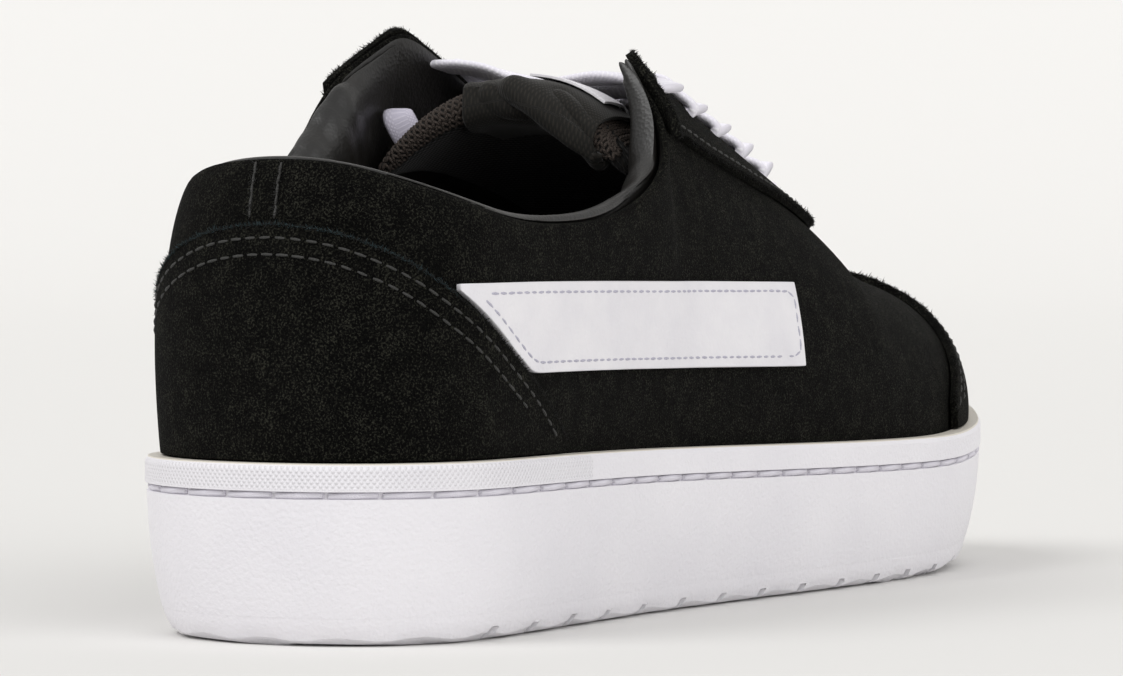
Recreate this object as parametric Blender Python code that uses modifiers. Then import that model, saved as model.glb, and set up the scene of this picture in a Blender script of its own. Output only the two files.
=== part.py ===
"""A right skateboarding shoe: a low suede upper in a deep moulded cup sole.

The shoe stands on Z = 0 with its toe towards +X and its outer side towards -Y.
Every form is read from one ring of sections round the last. Ring place 0 is the back
of the heel, the outer side runs up to the toe tip and the inner side runs back again.
"""

import math
from collections import namedtuple

import bmesh
import bpy
from mathutils import Vector

# Driving sizes of the last and the sole
LENGTH = 0.296
HEEL_WIDTH = 0.073
BALL_WIDTH = 0.104
HEEL_CUP = 0.0365
TOE_REACH = 0.049
TOE_SWING = 0.006
THROAT_LEAN = 0.003
TOE_SPRING = 0.009
TOE_SPRING_START = 0.72
HEEL_WALL = 0.0336
TOE_WALL = 0.0300
HEEL_FLOOR = 0.0200
TOE_FLOOR = 0.0145

# Heights above the rim of the sole
COLLAR_HEIGHT = 0.056
EAR_HEIGHT = 0.082
TOE_BOX_HEIGHT = 0.033

# Walls and clearances
GAP = 0.0003
UPPER_WALL = 0.0020
OVERLAY_WALL = 0.0013
BAND_WALL = 0.0011
RIM_WIDTH = 0.0042
WALL_BULGE = 0.0017
COLLAR_ROLL = 0.0008
FEATHER_TUCK = 0.0015

# Steps of the sole's side
TREAD_HEIGHT = 0.0050
TREAD_INSET = 0.0032
BAND_HEIGHT = 0.0050
STITCH_GROOVE = 0.0015
STITCH_GROOVE_DEPTH = 0.0012
GROOVE_PITCH = 0.0155
GROOVE_WIDTH = 0.0034
GROOVE_DEPTH = 0.0024
GROOVE_ZIGZAG = 0.0050
GROOVE_FIRST = 0.030
GROOVE_TEETH = 6

# Loose pieces
INSOLE_THICKNESS = 0.0045
INSOLE_INSET = 0.0095
INSOLE_EDGE = 0.0020
LINING_FOAM = 0.0062
LINING_DEPTH = 0.026
TONGUE_THICKNESS = 0.0075
TONGUE_LEAN = 0.0010
TONGUE_BOW = 0.010
TONGUE_ARCH = 0.4
LABEL_WALL = 0.0009
LABEL_LENGTH = 0.026
LACE_WIDTH = 0.0070
LACE_THICKNESS = 0.0015
EYELET_INSET = 0.0080
BAND_WIDTH = 0.0170
BAND_BASE = 0.0155
BAND_CLEARANCE = 0.022
BAND_END = 0.53

Station = namedtuple(
    "Station",
    "part spine along outer inner edge_outer edge_inner rise_outer rise_inner crown drop lower",
)
# spine is a share of LENGTH and along a share of the heel cup or the toe reach. outer and
# inner are the sole's half widths as shares of the half width there. edge_ is the reach of
# the upper's top edge as a share of half the heel's width, and rise_ its height as a share
# of the part's own height. crown, drop and lower shape the wall between rim and top edge.
STATIONS = (
    Station("collar", 0.123, -1.000, 0.000, 0.000, 0.784, 0.784, 1.000, 1.000, 1.30, 0.20, 0.35),
    Station("collar", 0.123, -0.930, 0.400, 0.430, 0.792, 0.795, 0.985, 0.990, 1.30, 0.20, 0.35),
    Station("collar", 0.123, -0.710, 0.725, 0.785, 0.805, 0.815, 0.930, 0.958, 1.30, 0.21, 0.35),
    Station("collar", 0.123, -0.375, 0.935, 1.005, 0.825, 0.845, 0.870, 0.915, 1.30, 0.22, 0.35),
    Station("collar", 0.123, 0.000, 1.000, 1.060, 0.852, 0.880, 0.812, 0.878, 1.30, 0.22, 0.36),
    Station("collar", 0.160, 0.000, 0.990, 1.030, 0.888, 0.902, 0.780, 0.866, 1.30, 0.22, 0.36),
    Station("collar", 0.194, 0.000, 0.974, 0.985, 0.926, 0.918, 0.775, 0.875, 1.30, 0.22, 0.36),
    Station("collar", 0.230, 0.000, 0.957, 0.940, 0.967, 0.936, 0.781, 0.915, 1.25, 0.22, 0.36),
    Station("collar", 0.264, 0.000, 0.942, 0.908, 1.008, 0.946, 0.806, 1.008, 1.20, 0.22, 0.36),
    Station("collar", 0.294, 0.000, 0.930, 0.882, 1.046, 0.935, 0.852, 1.160, 1.15, 0.23, 0.36),
    Station("collar", 0.319, 0.000, 0.922, 0.868, 1.074, 0.900, 0.912, 1.280, 1.10, 0.24, 0.37),
    Station("collar", 0.343, 0.000, 0.920, 0.861, 1.080, 0.830, 1.008, 1.362, 1.05, 0.25, 0.38),
    Station("ear", 0.362, 0.000, 0.921, 0.860, 1.000, 0.752, 0.800, 0.975, 0.90, 0.24, 0.40),
    Station("ear", 0.379, 0.000, 0.924, 0.861, 0.670, 0.672, 0.945, 1.012, 0.72, 0.20, 0.42),
    Station("ear", 0.407, 0.000, 0.930, 0.866, 0.634, 0.625, 0.915, 0.972, 0.66, 0.14, 0.44),
    Station("ear", 0.449, 0.000, 0.942, 0.880, 0.604, 0.588, 0.864, 0.906, 0.64, 0.11, 0.46),
    Station("ear", 0.500, 0.000, 0.960, 0.900, 0.566, 0.550, 0.804, 0.826, 0.62, 0.09, 0.48),
    Station("ear", 0.551, 0.000, 0.982, 0.924, 0.522, 0.504, 0.744, 0.754, 0.61, 0.08, 0.50),
    Station("ear", 0.602, 0.000, 1.000, 0.950, 0.465, 0.452, 0.680, 0.686, 0.60, 0.06, 0.53),
    Station("ear", 0.649, 0.000, 1.006, 0.968, 0.385, 0.378, 0.617, 0.620, 0.58, 0.04, 0.56),
    Station("ear", 0.678, 0.000, 1.006, 0.972, 0.260, 0.258, 0.578, 0.580, 0.57, 0.02, 0.58),
    Station("ear", 0.696, 0.000, 1.003, 0.974, 0.000, 0.000, 0.560, 0.560, 0.56, 0.00, 0.60),
    Station("toe", 0.736, 0.000, 0.998, 0.974, 0.000, 0.000, 1.255, 1.255, 0.56, 0.00, 0.60),
    Station("toe", 0.784, 0.000, 0.975, 0.968, 0.000, 0.000, 1.125, 1.125, 0.56, 0.00, 0.61),
    Station("toe", 0.834, 0.000, 0.910, 0.942, 0.000, 0.000, 1.000, 1.000, 0.57, 0.00, 0.62),
    Station("toe", 0.834, 0.400, 0.745, 0.880, 0.000, 0.000, 1.000, 1.000, 0.58, 0.00, 0.63),
    Station("toe", 0.834, 0.740, 0.490, 0.690, 0.000, 0.000, 1.000, 1.000, 0.60, 0.00, 0.64),
    Station("toe", 0.834, 0.945, 0.200, 0.400, 0.000, 0.000, 1.000, 1.000, 0.60, 0.00, 0.65),
    Station("toe", 0.834, 1.000, -0.100, 0.100, 0.000, 0.000, 1.000, 1.000, 0.60, 0.00, 0.65),
)
TIP = len(STATIONS) - 1
RING = 2 * TIP
EAR_TIP = 13
THROAT_END = 21
PART_HEIGHT = {"collar": COLLAR_HEIGHT, "ear": EAR_HEIGHT, "toe": TOE_BOX_HEIGHT}

# Height of the counter's top edge at the first stations, as a share of COLLAR_HEIGHT
COUNTER_EDGE = (0.780, 0.750, 0.655, 0.497, 0.330, 0.200, 0.055)
# Share of the wall that the toe cap covers, from its last station back to the toe tip
TOE_CAP_EDGE = (0.10, 0.30, 0.50, 0.68, 0.76, 0.79)
# Where the eyelets lie along the outer side's ring
EYELET_PLACES = (14.28, 15.33, 16.27, 17.20, 18.14, 19.05)

TongueRow = namedtuple("TongueRow", "place height half_width sag thickness")
# place is a share of LENGTH, height a share of EAR_HEIGHT over the heel's rim, half_width
# and sag shares of half the heel's width, and thickness a share of TONGUE_THICKNESS.
TONGUE = (
    TongueRow(0.720, 0.446, 0.600, 0.170, 0.42),
    TongueRow(0.693, 0.482, 0.630, 0.190, 0.48),
    TongueRow(0.652, 0.554, 0.660, 0.205, 0.58),
    TongueRow(0.601, 0.626, 0.680, 0.215, 0.70),
    TongueRow(0.551, 0.696, 0.690, 0.225, 0.84),
    TongueRow(0.500, 0.758, 0.700, 0.240, 0.96),
    TongueRow(0.454, 0.801, 0.700, 0.270, 1.00),
    TongueRow(0.412, 0.838, 0.705, 0.310, 1.00),
    TongueRow(0.384, 0.852, 0.705, 0.350, 1.00),
    TongueRow(0.364, 0.854, 0.700, 0.400, 0.94),
)

SUEDE_BLACK = ("black_suede", (0.012, 0.012, 0.012), 0.95)
FINISHES = {
    "suede": SUEDE_BLACK,
    "rubber": ("white_rubber", (0.80, 0.80, 0.82), 0.55),
    "leather": ("white_leather", (0.82, 0.82, 0.84), 0.50),
    "lining": ("black_leather", (0.035, 0.033, 0.030), 0.45),
    "mesh": ("black_mesh", (0.030, 0.025, 0.022), 0.90),
    "label": ("black_label", (0.020, 0.020, 0.020), 0.80),
    "insole": ("black_insole", (0.015, 0.015, 0.015), 0.90),
    "lace": ("white_lace", (0.80, 0.80, 0.84), 0.85),
}


def clear_scene():
    """Removes what the file holds, so that only the shoe is left."""
    for obj in list(bpy.data.objects):
        bpy.data.objects.remove(obj)


def even(values, place):
    """Straight-line value at a place of a closed list."""
    index = math.floor(place)
    start, end = values[index % len(values)], values[(index + 1) % len(values)]
    return start + (end - start) * (place - index)


def smooth(values, place):
    """Catmull-Rom value at a place of a closed list."""
    index = math.floor(place)
    share = place - index
    a, b, c, d = (values[(index + k) % len(values)] for k in (-1, 0, 1, 2))
    return 0.5 * (
        2 * b + (c - a) * share + (2 * a - 5 * b + 4 * c - d) * share**2
        + (3 * b - a - 3 * c + d) * share**3
    )


def steady(values, place):
    """Cubic value at a place of a closed list, with no overshoot between rows."""
    index = math.floor(place)
    share = place - index
    a, b, c, d = (values[(index + k) % len(values)] for k in (-1, 0, 1, 2))

    def slope(before, after):
        return 0.0 if before * after <= 0 else 2 * before * after / (before + after)

    start, end = slope(b - a, c - b), slope(c - b, d - c)
    return (
        b * (1 + 2 * share) * (1 - share) ** 2 + start * share * (1 - share) ** 2
        + c * share**2 * (3 - 2 * share) + end * share**2 * (share - 1)
    )


def ramp(low, high, value):
    """0 below low and 1 above high, with a soft change between."""
    share = min(1.0, max(0.0, (value - low) / (high - low)))
    return share * share * (3 - 2 * share)


def lift(x):
    """How far the toe spring raises the sole at x."""
    beyond = max(0.0, x / LENGTH - TOE_SPRING_START) / (1 - TOE_SPRING_START)
    return TOE_SPRING * beyond**2


def wall_rise(x):
    """Height of the sole's side wall at x, without the toe spring."""
    return HEEL_WALL + (TOE_WALL - HEEL_WALL) * ramp(0.10, 0.78, x / LENGTH)


def floor_rise(x):
    """Height of the floor inside the sole's cup at x, without the toe spring."""
    return HEEL_FLOOR + (TOE_FLOOR - HEEL_FLOOR) * ramp(0.20, 0.70, x / LENGTH)


def rim(x):
    """Height of the sole's rim at x."""
    return lift(x) + wall_rise(x)


def ring_columns():
    """The rows as closed lists of real sizes, outer side first and inner side back."""
    names = ("spine_x", "spine_y", "out_x", "out_y", "reach", "top", "crown", "drop", "lower")
    columns = {name: [] for name in names}
    heel_half, ball_half = HEEL_WIDTH / 2, BALL_WIDTH / 2
    first = STATIONS[0].spine
    ball = 0.730
    for place in range(RING):
        outer_side = place <= TIP
        row = STATIONS[place if outer_side else RING - place]
        grow = min(1.0, max(0.0, (row.spine - first) / (ball - first)))
        half = heel_half + (ball_half - heel_half) * grow
        width = row.outer if outer_side else row.inner
        side = -1 if outer_side else 1
        spine_x = row.spine * LENGTH
        middle_y = TOE_SWING * grow**2 * 0.5
        lean = ramp(0.19, 0.38, row.spine) - ramp(0.45, 0.69, row.spine)
        end = HEEL_CUP if row.along < 0 else TOE_REACH
        columns["spine_x"].append(spine_x)
        columns["spine_y"].append(middle_y + THROAT_LEAN * lean)
        columns["out_x"].append(spine_x + row.along * end)
        columns["out_y"].append(middle_y + side * width * half)
        columns["reach"].append((row.edge_outer if outer_side else row.edge_inner) * heel_half)
        rise = row.rise_outer if outer_side else row.rise_inner
        columns["top"].append(rim(spine_x) + rise * PART_HEIGHT[row.part])
        columns["crown"].append(row.crown)
        columns["drop"].append(row.drop)
        columns["lower"].append(row.lower)
    return columns


COLUMNS = ring_columns()


class Section:
    """One section plane of the last, from its spine point out to the sole's edge."""

    def __init__(self, place):
        self.spine = Vector((even(COLUMNS["spine_x"], place), even(COLUMNS["spine_y"], place)))
        out = Vector((smooth(COLUMNS["out_x"], place), smooth(COLUMNS["out_y"], place)))
        self.reach = (out - self.spine).length
        self.way = (out - self.spine).normalized()
        self.edge = steady(COLUMNS["reach"], place)
        self.top = steady(COLUMNS["top"], place)
        self.crown = steady(COLUMNS["crown"], place)
        self.drop = steady(COLUMNS["drop"], place)
        self.lower = steady(COLUMNS["lower"], place)
        self.x = out.x

    def point(self, reach, height):
        """The point at that reach from the spine."""
        flat = self.spine + self.way * reach
        return Vector((flat.x, flat.y, height))

    def sole_point(self, inset, rise):
        """The point inset from the sole's edge, raised with the toe spring."""
        point = self.point(self.reach - inset, rise)
        point.z += lift(point.x)
        return point

    def wall(self, share):
        """The upper's outer surface, from the sole's rim at 0 to the top edge at 1."""
        foot = self.reach - RIM_WIDTH - GAP
        low = rim(self.x)
        rise = self.top - low
        reaches = (
            foot,
            foot + WALL_BULGE,
            self.edge + self.crown * (foot - self.edge) + COLLAR_ROLL,
            self.edge,
        )
        heights = (low, low + self.lower * rise, self.top - self.drop * rise, self.top)
        weights = (
            (1 - share) ** 3,
            3 * share * (1 - share) ** 2,
            3 * share**2 * (1 - share),
            share**3,
        )
        reach = sum(w * r for w, r in zip(weights, reaches))
        height = sum(w * h for w, h in zip(weights, heights))
        return self.point(reach, height)


def surface(place, share, out=0.0):
    """A point of the upper's outer surface, moved out along the surface's normal."""
    here = Section(place).wall(share)
    if not out:
        return here
    step = 0.02
    across = min(share, 0.97)
    along = Section(place + step).wall(across) - Section(place - step).wall(across)
    up = Section(place).wall(across + step) - Section(place).wall(across - step)
    return here + along.cross(up).normalized() * out


def share_at_height(place, height):
    """How far up the wall that height lies at this place."""
    section = Section(place)
    low, high = 0.0, 1.0
    for _ in range(24):
        middle = (low + high) / 2
        if section.wall(middle).z < height:
            low = middle
        else:
            high = middle
    return low


def ring_places():
    """Section places round the shoe: half steps at the heel and the toe, whole ones between."""
    places = []
    for index in range(RING):
        station = index if index <= TIP else RING - index
        after = index + 1 if index + 1 <= TIP else RING - index - 1
        places.append(float(index))
        if max(station, after) <= 4 or min(station, after) >= TIP - 4:
            places.append(index + 0.5)
    return places


def centred(point):
    """Moves a point from heel-based to centred coordinates."""
    return Vector((point[0] - CENTRE_X, point[1] - CENTRE_Y, point[2]))


def make_object(name, mesh_data, finish):
    """An object in the shoe's collection, with its own material."""
    obj = bpy.data.objects.new(name, mesh_data)
    COLLECTION.objects.link(obj)
    label, colour, roughness = FINISHES[finish]
    material = bpy.data.materials.new(label + "_" + name)
    material.use_nodes = True
    shader = material.node_tree.nodes["Principled BSDF"]
    shader.inputs["Base Color"].default_value = (*colour, 1.0)
    shader.inputs["Roughness"].default_value = roughness
    shader.inputs["Metallic"].default_value = 0.0
    mesh_data.materials.append(material)
    return obj


def grid_mesh(name, rows, closed_rows=False, closed_columns=False, caps=False):
    """A mesh of quads through rows of points, with its doubles merged."""
    bm = bmesh.new()
    lines = [[bm.verts.new(centred(point)) for point in row] for row in rows]
    count, width = len(lines), len(lines[0])
    for i in range(count if closed_rows else count - 1):
        for j in range(width if closed_columns else width - 1):
            a, b = lines[i], lines[(i + 1) % count]
            k = (j + 1) % width
            bm.faces.new((a[j], b[j], b[k], a[k]))
    if caps:
        bm.faces.new(lines[0][::-1])
        bm.faces.new(lines[-1])
    bmesh.ops.remove_doubles(bm, verts=bm.verts, dist=0.00002)
    bmesh.ops.recalc_face_normals(bm, faces=bm.faces)
    mesh_data = bpy.data.meshes.new(name)
    bm.to_mesh(mesh_data)
    bm.free()
    mesh_data.shade_smooth()
    return mesh_data


def point_outwards(mesh_data):
    """Turns the faces so that a closed mesh has a positive volume."""
    bm = bmesh.new()
    bm.from_mesh(mesh_data)
    if bm.calc_volume(signed=True) < 0:
        bmesh.ops.reverse_faces(bm, faces=bm.faces)
    bm.to_mesh(mesh_data)
    bm.free()


def make_solid(name, rows, finish, **closing):
    """A closed solid through rows of points."""
    mesh_data = grid_mesh(name, rows, **closing)
    point_outwards(mesh_data)
    return make_object(name, mesh_data, finish)


def thicken(obj, wall, offset):
    """Gives an open surface its wall. Offset -1 goes inwards and 1 outwards."""
    modifier = obj.modifiers.new("wall", "SOLIDIFY")
    modifier.thickness = wall
    modifier.offset = offset
    modifier.use_even_offset = True
    return modifier


def face_away(mesh_data):
    """Makes an open sheet's normals point away from the shoe's inside."""
    bm = bmesh.new()
    bm.from_mesh(mesh_data)
    inside = centred(Vector((LENGTH * 0.45, 0.0, HEEL_WALL)))
    score = 0.0
    for face in bm.faces:
        centre = face.calc_center_median()
        near = Vector((min(max(centre.x, -0.35 * LENGTH), 0.30 * LENGTH), 0.0, inside.z))
        score += face.calc_area() * face.normal.dot(centre - near)
    if score < 0:
        bmesh.ops.reverse_faces(bm, faces=bm.faces)
    bm.to_mesh(mesh_data)
    bm.free()


def make_sheet(name, rows, finish, wall, offset, **closing):
    """An open sheet through rows of points, thickened with Solidify."""
    mesh_data = grid_mesh(name, rows, **closing)
    face_away(mesh_data)
    obj = make_object(name, mesh_data, finish)
    thicken(obj, wall, offset)
    return obj


def make_cup_sole():
    """The moulded cup: side wall with its rim band and stitch groove, and its floor."""
    rows = []
    for place in ring_places():
        section = Section(place)
        base = TREAD_HEIGHT + GAP
        top = wall_rise(section.x)
        deck = floor_rise(section.x)
        groove_top = top - BAND_HEIGHT
        groove_low = groove_top - STITCH_GROOVE
        span = groove_low - base
        profile = (
            (section.reach, base),
            (section.reach * 0.5, base),
            (TREAD_INSET, base),
            (0.0025, base + 0.12 * span),
            (0.0013, base + 0.42 * span),
            (0.0006, base + 0.72 * span),
            (0.0003, groove_low),
            (STITCH_GROOVE_DEPTH, groove_low + 0.0002),
            (STITCH_GROOVE_DEPTH, groove_top - 0.0002),
            (0.0000, groove_top),
            (0.0000, top - 0.0010),
            (0.0006, top),
            (RIM_WIDTH, top),
            (RIM_WIDTH + FEATHER_TUCK, deck + 0.0020),
            (RIM_WIDTH + FEATHER_TUCK, deck),
            (section.reach * 0.5, deck),
            (section.reach, deck),
        )
        rows.append([section.sole_point(inset, height) for inset, height in profile])
    return make_solid("cup_sole", rows, "rubber", closed_rows=True)


def make_outsole():
    """The tread plate under the cup, with zigzag grooves that show as notches at its edge."""
    rows = []
    for place in ring_places():
        section = Section(place)
        profile = (
            (section.reach, 0.0),
            (section.reach * 0.5, 0.0),
            (0.0068, 0.0),
            (0.0050, 0.0010),
            (0.0039, 0.0030),
            (TREAD_INSET, TREAD_HEIGHT),
            (section.reach * 0.5, TREAD_HEIGHT),
            (section.reach, TREAD_HEIGHT),
        )
        rows.append([section.sole_point(inset, height) for inset, height in profile])
    outsole = make_solid("outsole", rows, "rubber", closed_rows=True)
    for index in range(int((LENGTH - 1.6 * GROOVE_FIRST) / GROOVE_PITCH)):
        cutter = make_groove_cutter(index)
        cut = outsole.modifiers.new("groove_" + str(index), "BOOLEAN")
        cut.operation = "DIFFERENCE"
        cut.object = cutter
    return outsole


def make_groove_cutter(index):
    """One zigzag bar across the sole, which follows the toe spring."""
    x = GROOVE_FIRST + index * GROOVE_PITCH
    reach = BALL_WIDTH * 0.62
    rows = []
    for tooth in range(GROOVE_TEETH + 1):
        y = reach * (2 * tooth / GROOVE_TEETH - 1)
        near = x + (GROOVE_ZIGZAG if tooth % 2 else 0.0)
        top = lift(near) + GROOVE_DEPTH
        low = lift(near) - 2 * GROOVE_DEPTH
        half = GROOVE_WIDTH / 2
        rows.append([
            Vector((near - half, y, low)),
            Vector((near + half, y, low)),
            Vector((near + half * 0.7, y, top)),
            Vector((near - half * 0.7, y, top)),
        ])
    mesh_data = grid_mesh("groove_cutter", rows, closed_columns=True, caps=True)
    point_outwards(mesh_data)
    cutter = bpy.data.objects.new("groove_cutter_" + str(index), mesh_data)
    CUTTERS.objects.link(cutter)
    cutter.hide_render = True
    cutter.display_type = "WIRE"
    return cutter


def make_insole():
    """The removable insole, with raised edges, on the cup's floor."""
    rows = []
    for place in ring_places():
        section = Section(place)
        deck = floor_rise(section.x) + GAP
        top = deck + INSOLE_THICKNESS
        edge = INSOLE_EDGE
        profile = (
            (section.reach, deck),
            (INSOLE_INSET + 0.4 * edge, deck),
            (INSOLE_INSET, top + edge),
            (INSOLE_INSET + 0.5 * edge, top + 1.1 * edge),
            (INSOLE_INSET + 2.8 * edge, top),
            (section.reach, top),
        )
        rows.append([section.sole_point(inset, height) for inset, height in profile])
    return make_solid("insole", rows, "insole", closed_rows=True)


def make_upper():
    """The hollow upper, open underneath, at the collar and at the throat."""
    rows = []
    shares = [step / 8 for step in range(9)]
    for place in ring_places():
        section = Section(place)
        feather = section.sole_point(
            RIM_WIDTH + GAP + FEATHER_TUCK, floor_rise(section.x) + 2 * GAP
        )
        rows.append([feather] + [section.wall(share) for share in shares])
    return make_sheet("upper", rows, "suede", UPPER_WALL, -1, closed_rows=True)


def patch_rows(places, low_share, high_share, steps, out):
    """Rows of points of an overlay between two edges of the wall."""
    rows = []
    for place in places:
        low, high = low_share(place), high_share(place)
        rows.append(
            [surface(place, low + (high - low) * k / steps, out) for k in range(steps + 1)]
        )
    return rows


def spread(first, last, steps):
    """Even places from first to last."""
    return [first + (last - first) * k / steps for k in range(steps + 1)]


def above_rim(place):
    """The share where an overlay starts, just over the rim."""
    return share_at_height(place, rim(Section(place).x) + GAP + 0.0001)


def counter_top(place):
    """The share of the wall at the counter's top edge."""
    station = abs(place)
    index = min(int(station), len(COUNTER_EDGE) - 2)
    rest = station - index
    edge = COUNTER_EDGE[index] * (1 - rest) + COUNTER_EDGE[index + 1] * rest
    height = rim(Section(place).x) + edge * COLLAR_HEIGHT
    return share_at_height(place, height)


def make_counter():
    """The suede counter wrapped round the heel."""
    last = len(COUNTER_EDGE) - 1
    rows = patch_rows(spread(-last, last, 4 * last), above_rim, counter_top, 6, GAP)
    return make_sheet("heel_counter", rows, "suede", OVERLAY_WALL, 1)


def toe_cap_top(place):
    """The share of the wall at the toe cap's back edge."""
    away = abs(place - TIP)
    station = len(TOE_CAP_EDGE) - 1 - away
    index = min(max(int(station), 0), len(TOE_CAP_EDGE) - 2)
    rest = station - index
    return TOE_CAP_EDGE[index] * (1 - rest) + TOE_CAP_EDGE[index + 1] * rest


def make_toe_cap():
    """The suede cap over the toe."""
    reach = len(TOE_CAP_EDGE) - 1
    rows = patch_rows(spread(TIP - reach, TIP + reach, 6 * reach), above_rim, toe_cap_top, 6, GAP)
    return make_sheet("toe_cap", rows, "suede", OVERLAY_WALL, 1)


def eyestay_foot(place):
    """The share of the wall at the eyestay's lower edge, a set width below the throat."""
    station = place if place <= TIP else RING - place
    width = 2 * EYELET_INSET * (0.75 + 0.25 * ramp(EAR_TIP - 1, EAR_TIP + 1, station))
    top = Section(place).wall(1.0)
    share = 1.0
    while share > 0.2 and (Section(place).wall(share) - top).length < width:
        share -= 0.01
    return share


def make_eyestay(name, inner):
    """The suede strip that carries one row of eyelets, with its raised corner."""
    first = EAR_TIP - (3.0 if inner else 1.4)

    def foot(place):
        station = place if place <= TIP else RING - place
        top = 0.995
        width = 1.0 if inner else ramp(first - 0.3, EAR_TIP, station)
        return top + (eyestay_foot(place) - top) * width

    places = spread(first, THROAT_END - 1.0, 28)
    if inner:
        places = [RING - place for place in places]
    rows = patch_rows(places, foot, lambda place: 0.995, 4, 1.5 * GAP)
    return make_sheet(name, rows, "suede", OVERLAY_WALL, 1)


def make_band(name, inner):
    """A plain straight band of white leather, cut along the counter's edge at its back."""
    def band_foot(place):
        low = share_at_height(place, rim(Section(place).x) + BAND_BASE)
        station = place if place <= TIP else RING - place
        if station > len(COUNTER_EDGE) - 1:
            return low
        edge = counter_top(place if place <= TIP else place - RING)
        return max(low, edge + BAND_CLEARANCE)

    def band_top(place):
        return share_at_height(place, rim(Section(place).x) + BAND_BASE + BAND_WIDTH)

    first = 2.75
    last = first
    while Section(last).x < BAND_END * LENGTH:
        last += 0.1
    places = spread(first, 5.0, 9) + spread(5.0, last, 12)[1:]
    if inner:
        places = [RING - place for place in places]
    rows = patch_rows(places, band_foot, band_top, 3, GAP)
    return make_sheet(name, rows, "leather", BAND_WALL, 1)


def lining_profile(thin, sink, lap, clear):
    """Depth into the shoe and drop below the top edge, round the padded lining."""
    back = UPPER_WALL + 2 * GAP + clear
    foam = LINING_FOAM * thin
    length = LINING_DEPTH
    return (
        (back, sink - GAP),
        (back, 0.16 * length),
        (back, 0.34 * length),
        (back, 0.52 * length),
        (back, 0.76 * length),
        (back, length),
        (back + 0.0012, length),
        (back + 0.50 * foam, 0.84 * length),
        (back + 0.84 * foam, 0.62 * length),
        (back + foam, 0.40 * length),
        (back + 0.95 * foam, sink + 0.12 * length),
        (back + 0.62 * foam, sink - 0.0002),
        (back + 0.20 * foam, sink - 0.0016),
        (back + (0.0010 - back) * lap, sink - 0.0016 + 0.0004 * (1 - lap)),
        (back + (0.0006 - back) * lap, sink - 2 * GAP - 0.0003 * (1 - lap)),
        (back, sink - 2 * GAP),
    )


def wall_depth_point(place, depth, drop):
    """A point at a depth under the wall's surface and a drop below its top edge."""
    share = 1.0
    section = Section(place)
    top = section.wall(1.0)
    if drop <= 0:
        up = (section.wall(1.0) - section.wall(0.96)).normalized()
        return surface(place, 1.0, -depth) - up * drop
    travelled, last = 0.0, top
    while travelled < drop and share > 0.03:
        share -= 0.01
        here = section.wall(share)
        travelled += (here - last).length
        last = here
    return surface(place, share, -depth)


def make_lining():
    """The padded collar lining, from one ear round the heel to the other."""
    rows = []
    reach = EAR_TIP - 0.1
    for place in spread(-reach, reach, 34):
        thin = 1.0 - 0.64 * ramp(8.0, 12.4, abs(place))
        sink = 0.0026 * ramp(9.3, 10.8, abs(place))
        lap = 1.0 - ramp(7.6, 9.2, abs(place))
        clear = 0.0006 * ramp(7.6, 9.8, abs(place))
        profile = lining_profile(thin, sink, lap, clear)
        rows.append([wall_depth_point(place, d, h) for d, h in profile])
    return make_solid("collar_lining", rows, "lining", closed_columns=True, caps=True)


def tongue_line(across):
    """The tongue's closed outline along the shoe at one place across its width."""
    half = HEEL_WIDTH / 2
    full = math.sqrt(max(0.0, 1 - abs(across) ** 5))
    centres = []
    for row in TONGUE:
        share = ramp(0.19, 0.38, row.place) - ramp(0.45, 0.69, row.place)
        y = TONGUE_LEAN * share + across * row.half_width * half
        power = 2.0 + TONGUE_ARCH * (1.0 - ramp(0.37, 0.42, row.place))
        rise = row.height * EAR_HEIGHT - row.sag * half * abs(across) ** power
        centres.append(Vector((row.place * LENGTH, y, HEEL_WALL + rise)))
    upper, lower = [], []
    last = len(TONGUE) - 1
    for index, row in enumerate(TONGUE):
        way = centres[min(index + 1, last)] - centres[max(index - 1, 0)]
        up = Vector((way.z, 0.0, -way.x)).normalized()
        depth = row.thickness * TONGUE_THICKNESS
        middle = centres[index] - up * depth / 2
        swell = up * depth * (0.25 + 0.75 * full) / 2
        upper.append(middle + swell)
        lower.append(middle - swell)
    way = (centres[last] - centres[last - 1]).normalized()
    tip = (upper[last] + lower[last]) / 2
    swell = (upper[last] - lower[last]) / 2
    nose = [
        tip + way * swell.length * 0.75 + swell * 0.72,
        tip + way * swell.length,
        tip + way * swell.length * 0.75 - swell * 0.72,
    ]
    line = upper + nose + lower[::-1]
    bow = -TONGUE_BOW * max(0.0, across) ** 2
    return [
        point + Vector((bow * ramp(last - 2, last + 1, min(k, len(line) - 1 - k)), 0.0, 0.0))
        for k, point in enumerate(line)
    ]


def make_tongue():
    """The padded tongue, arched across the instep."""
    steps = (-1.0, -0.93, -0.75, -0.5, -0.25, 0.0, 0.25, 0.5, 0.75, 0.93, 1.0)
    rows = [tongue_line(across) for across in steps]
    return make_solid("tongue", rows, "mesh", closed_columns=True, caps=True)


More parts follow.
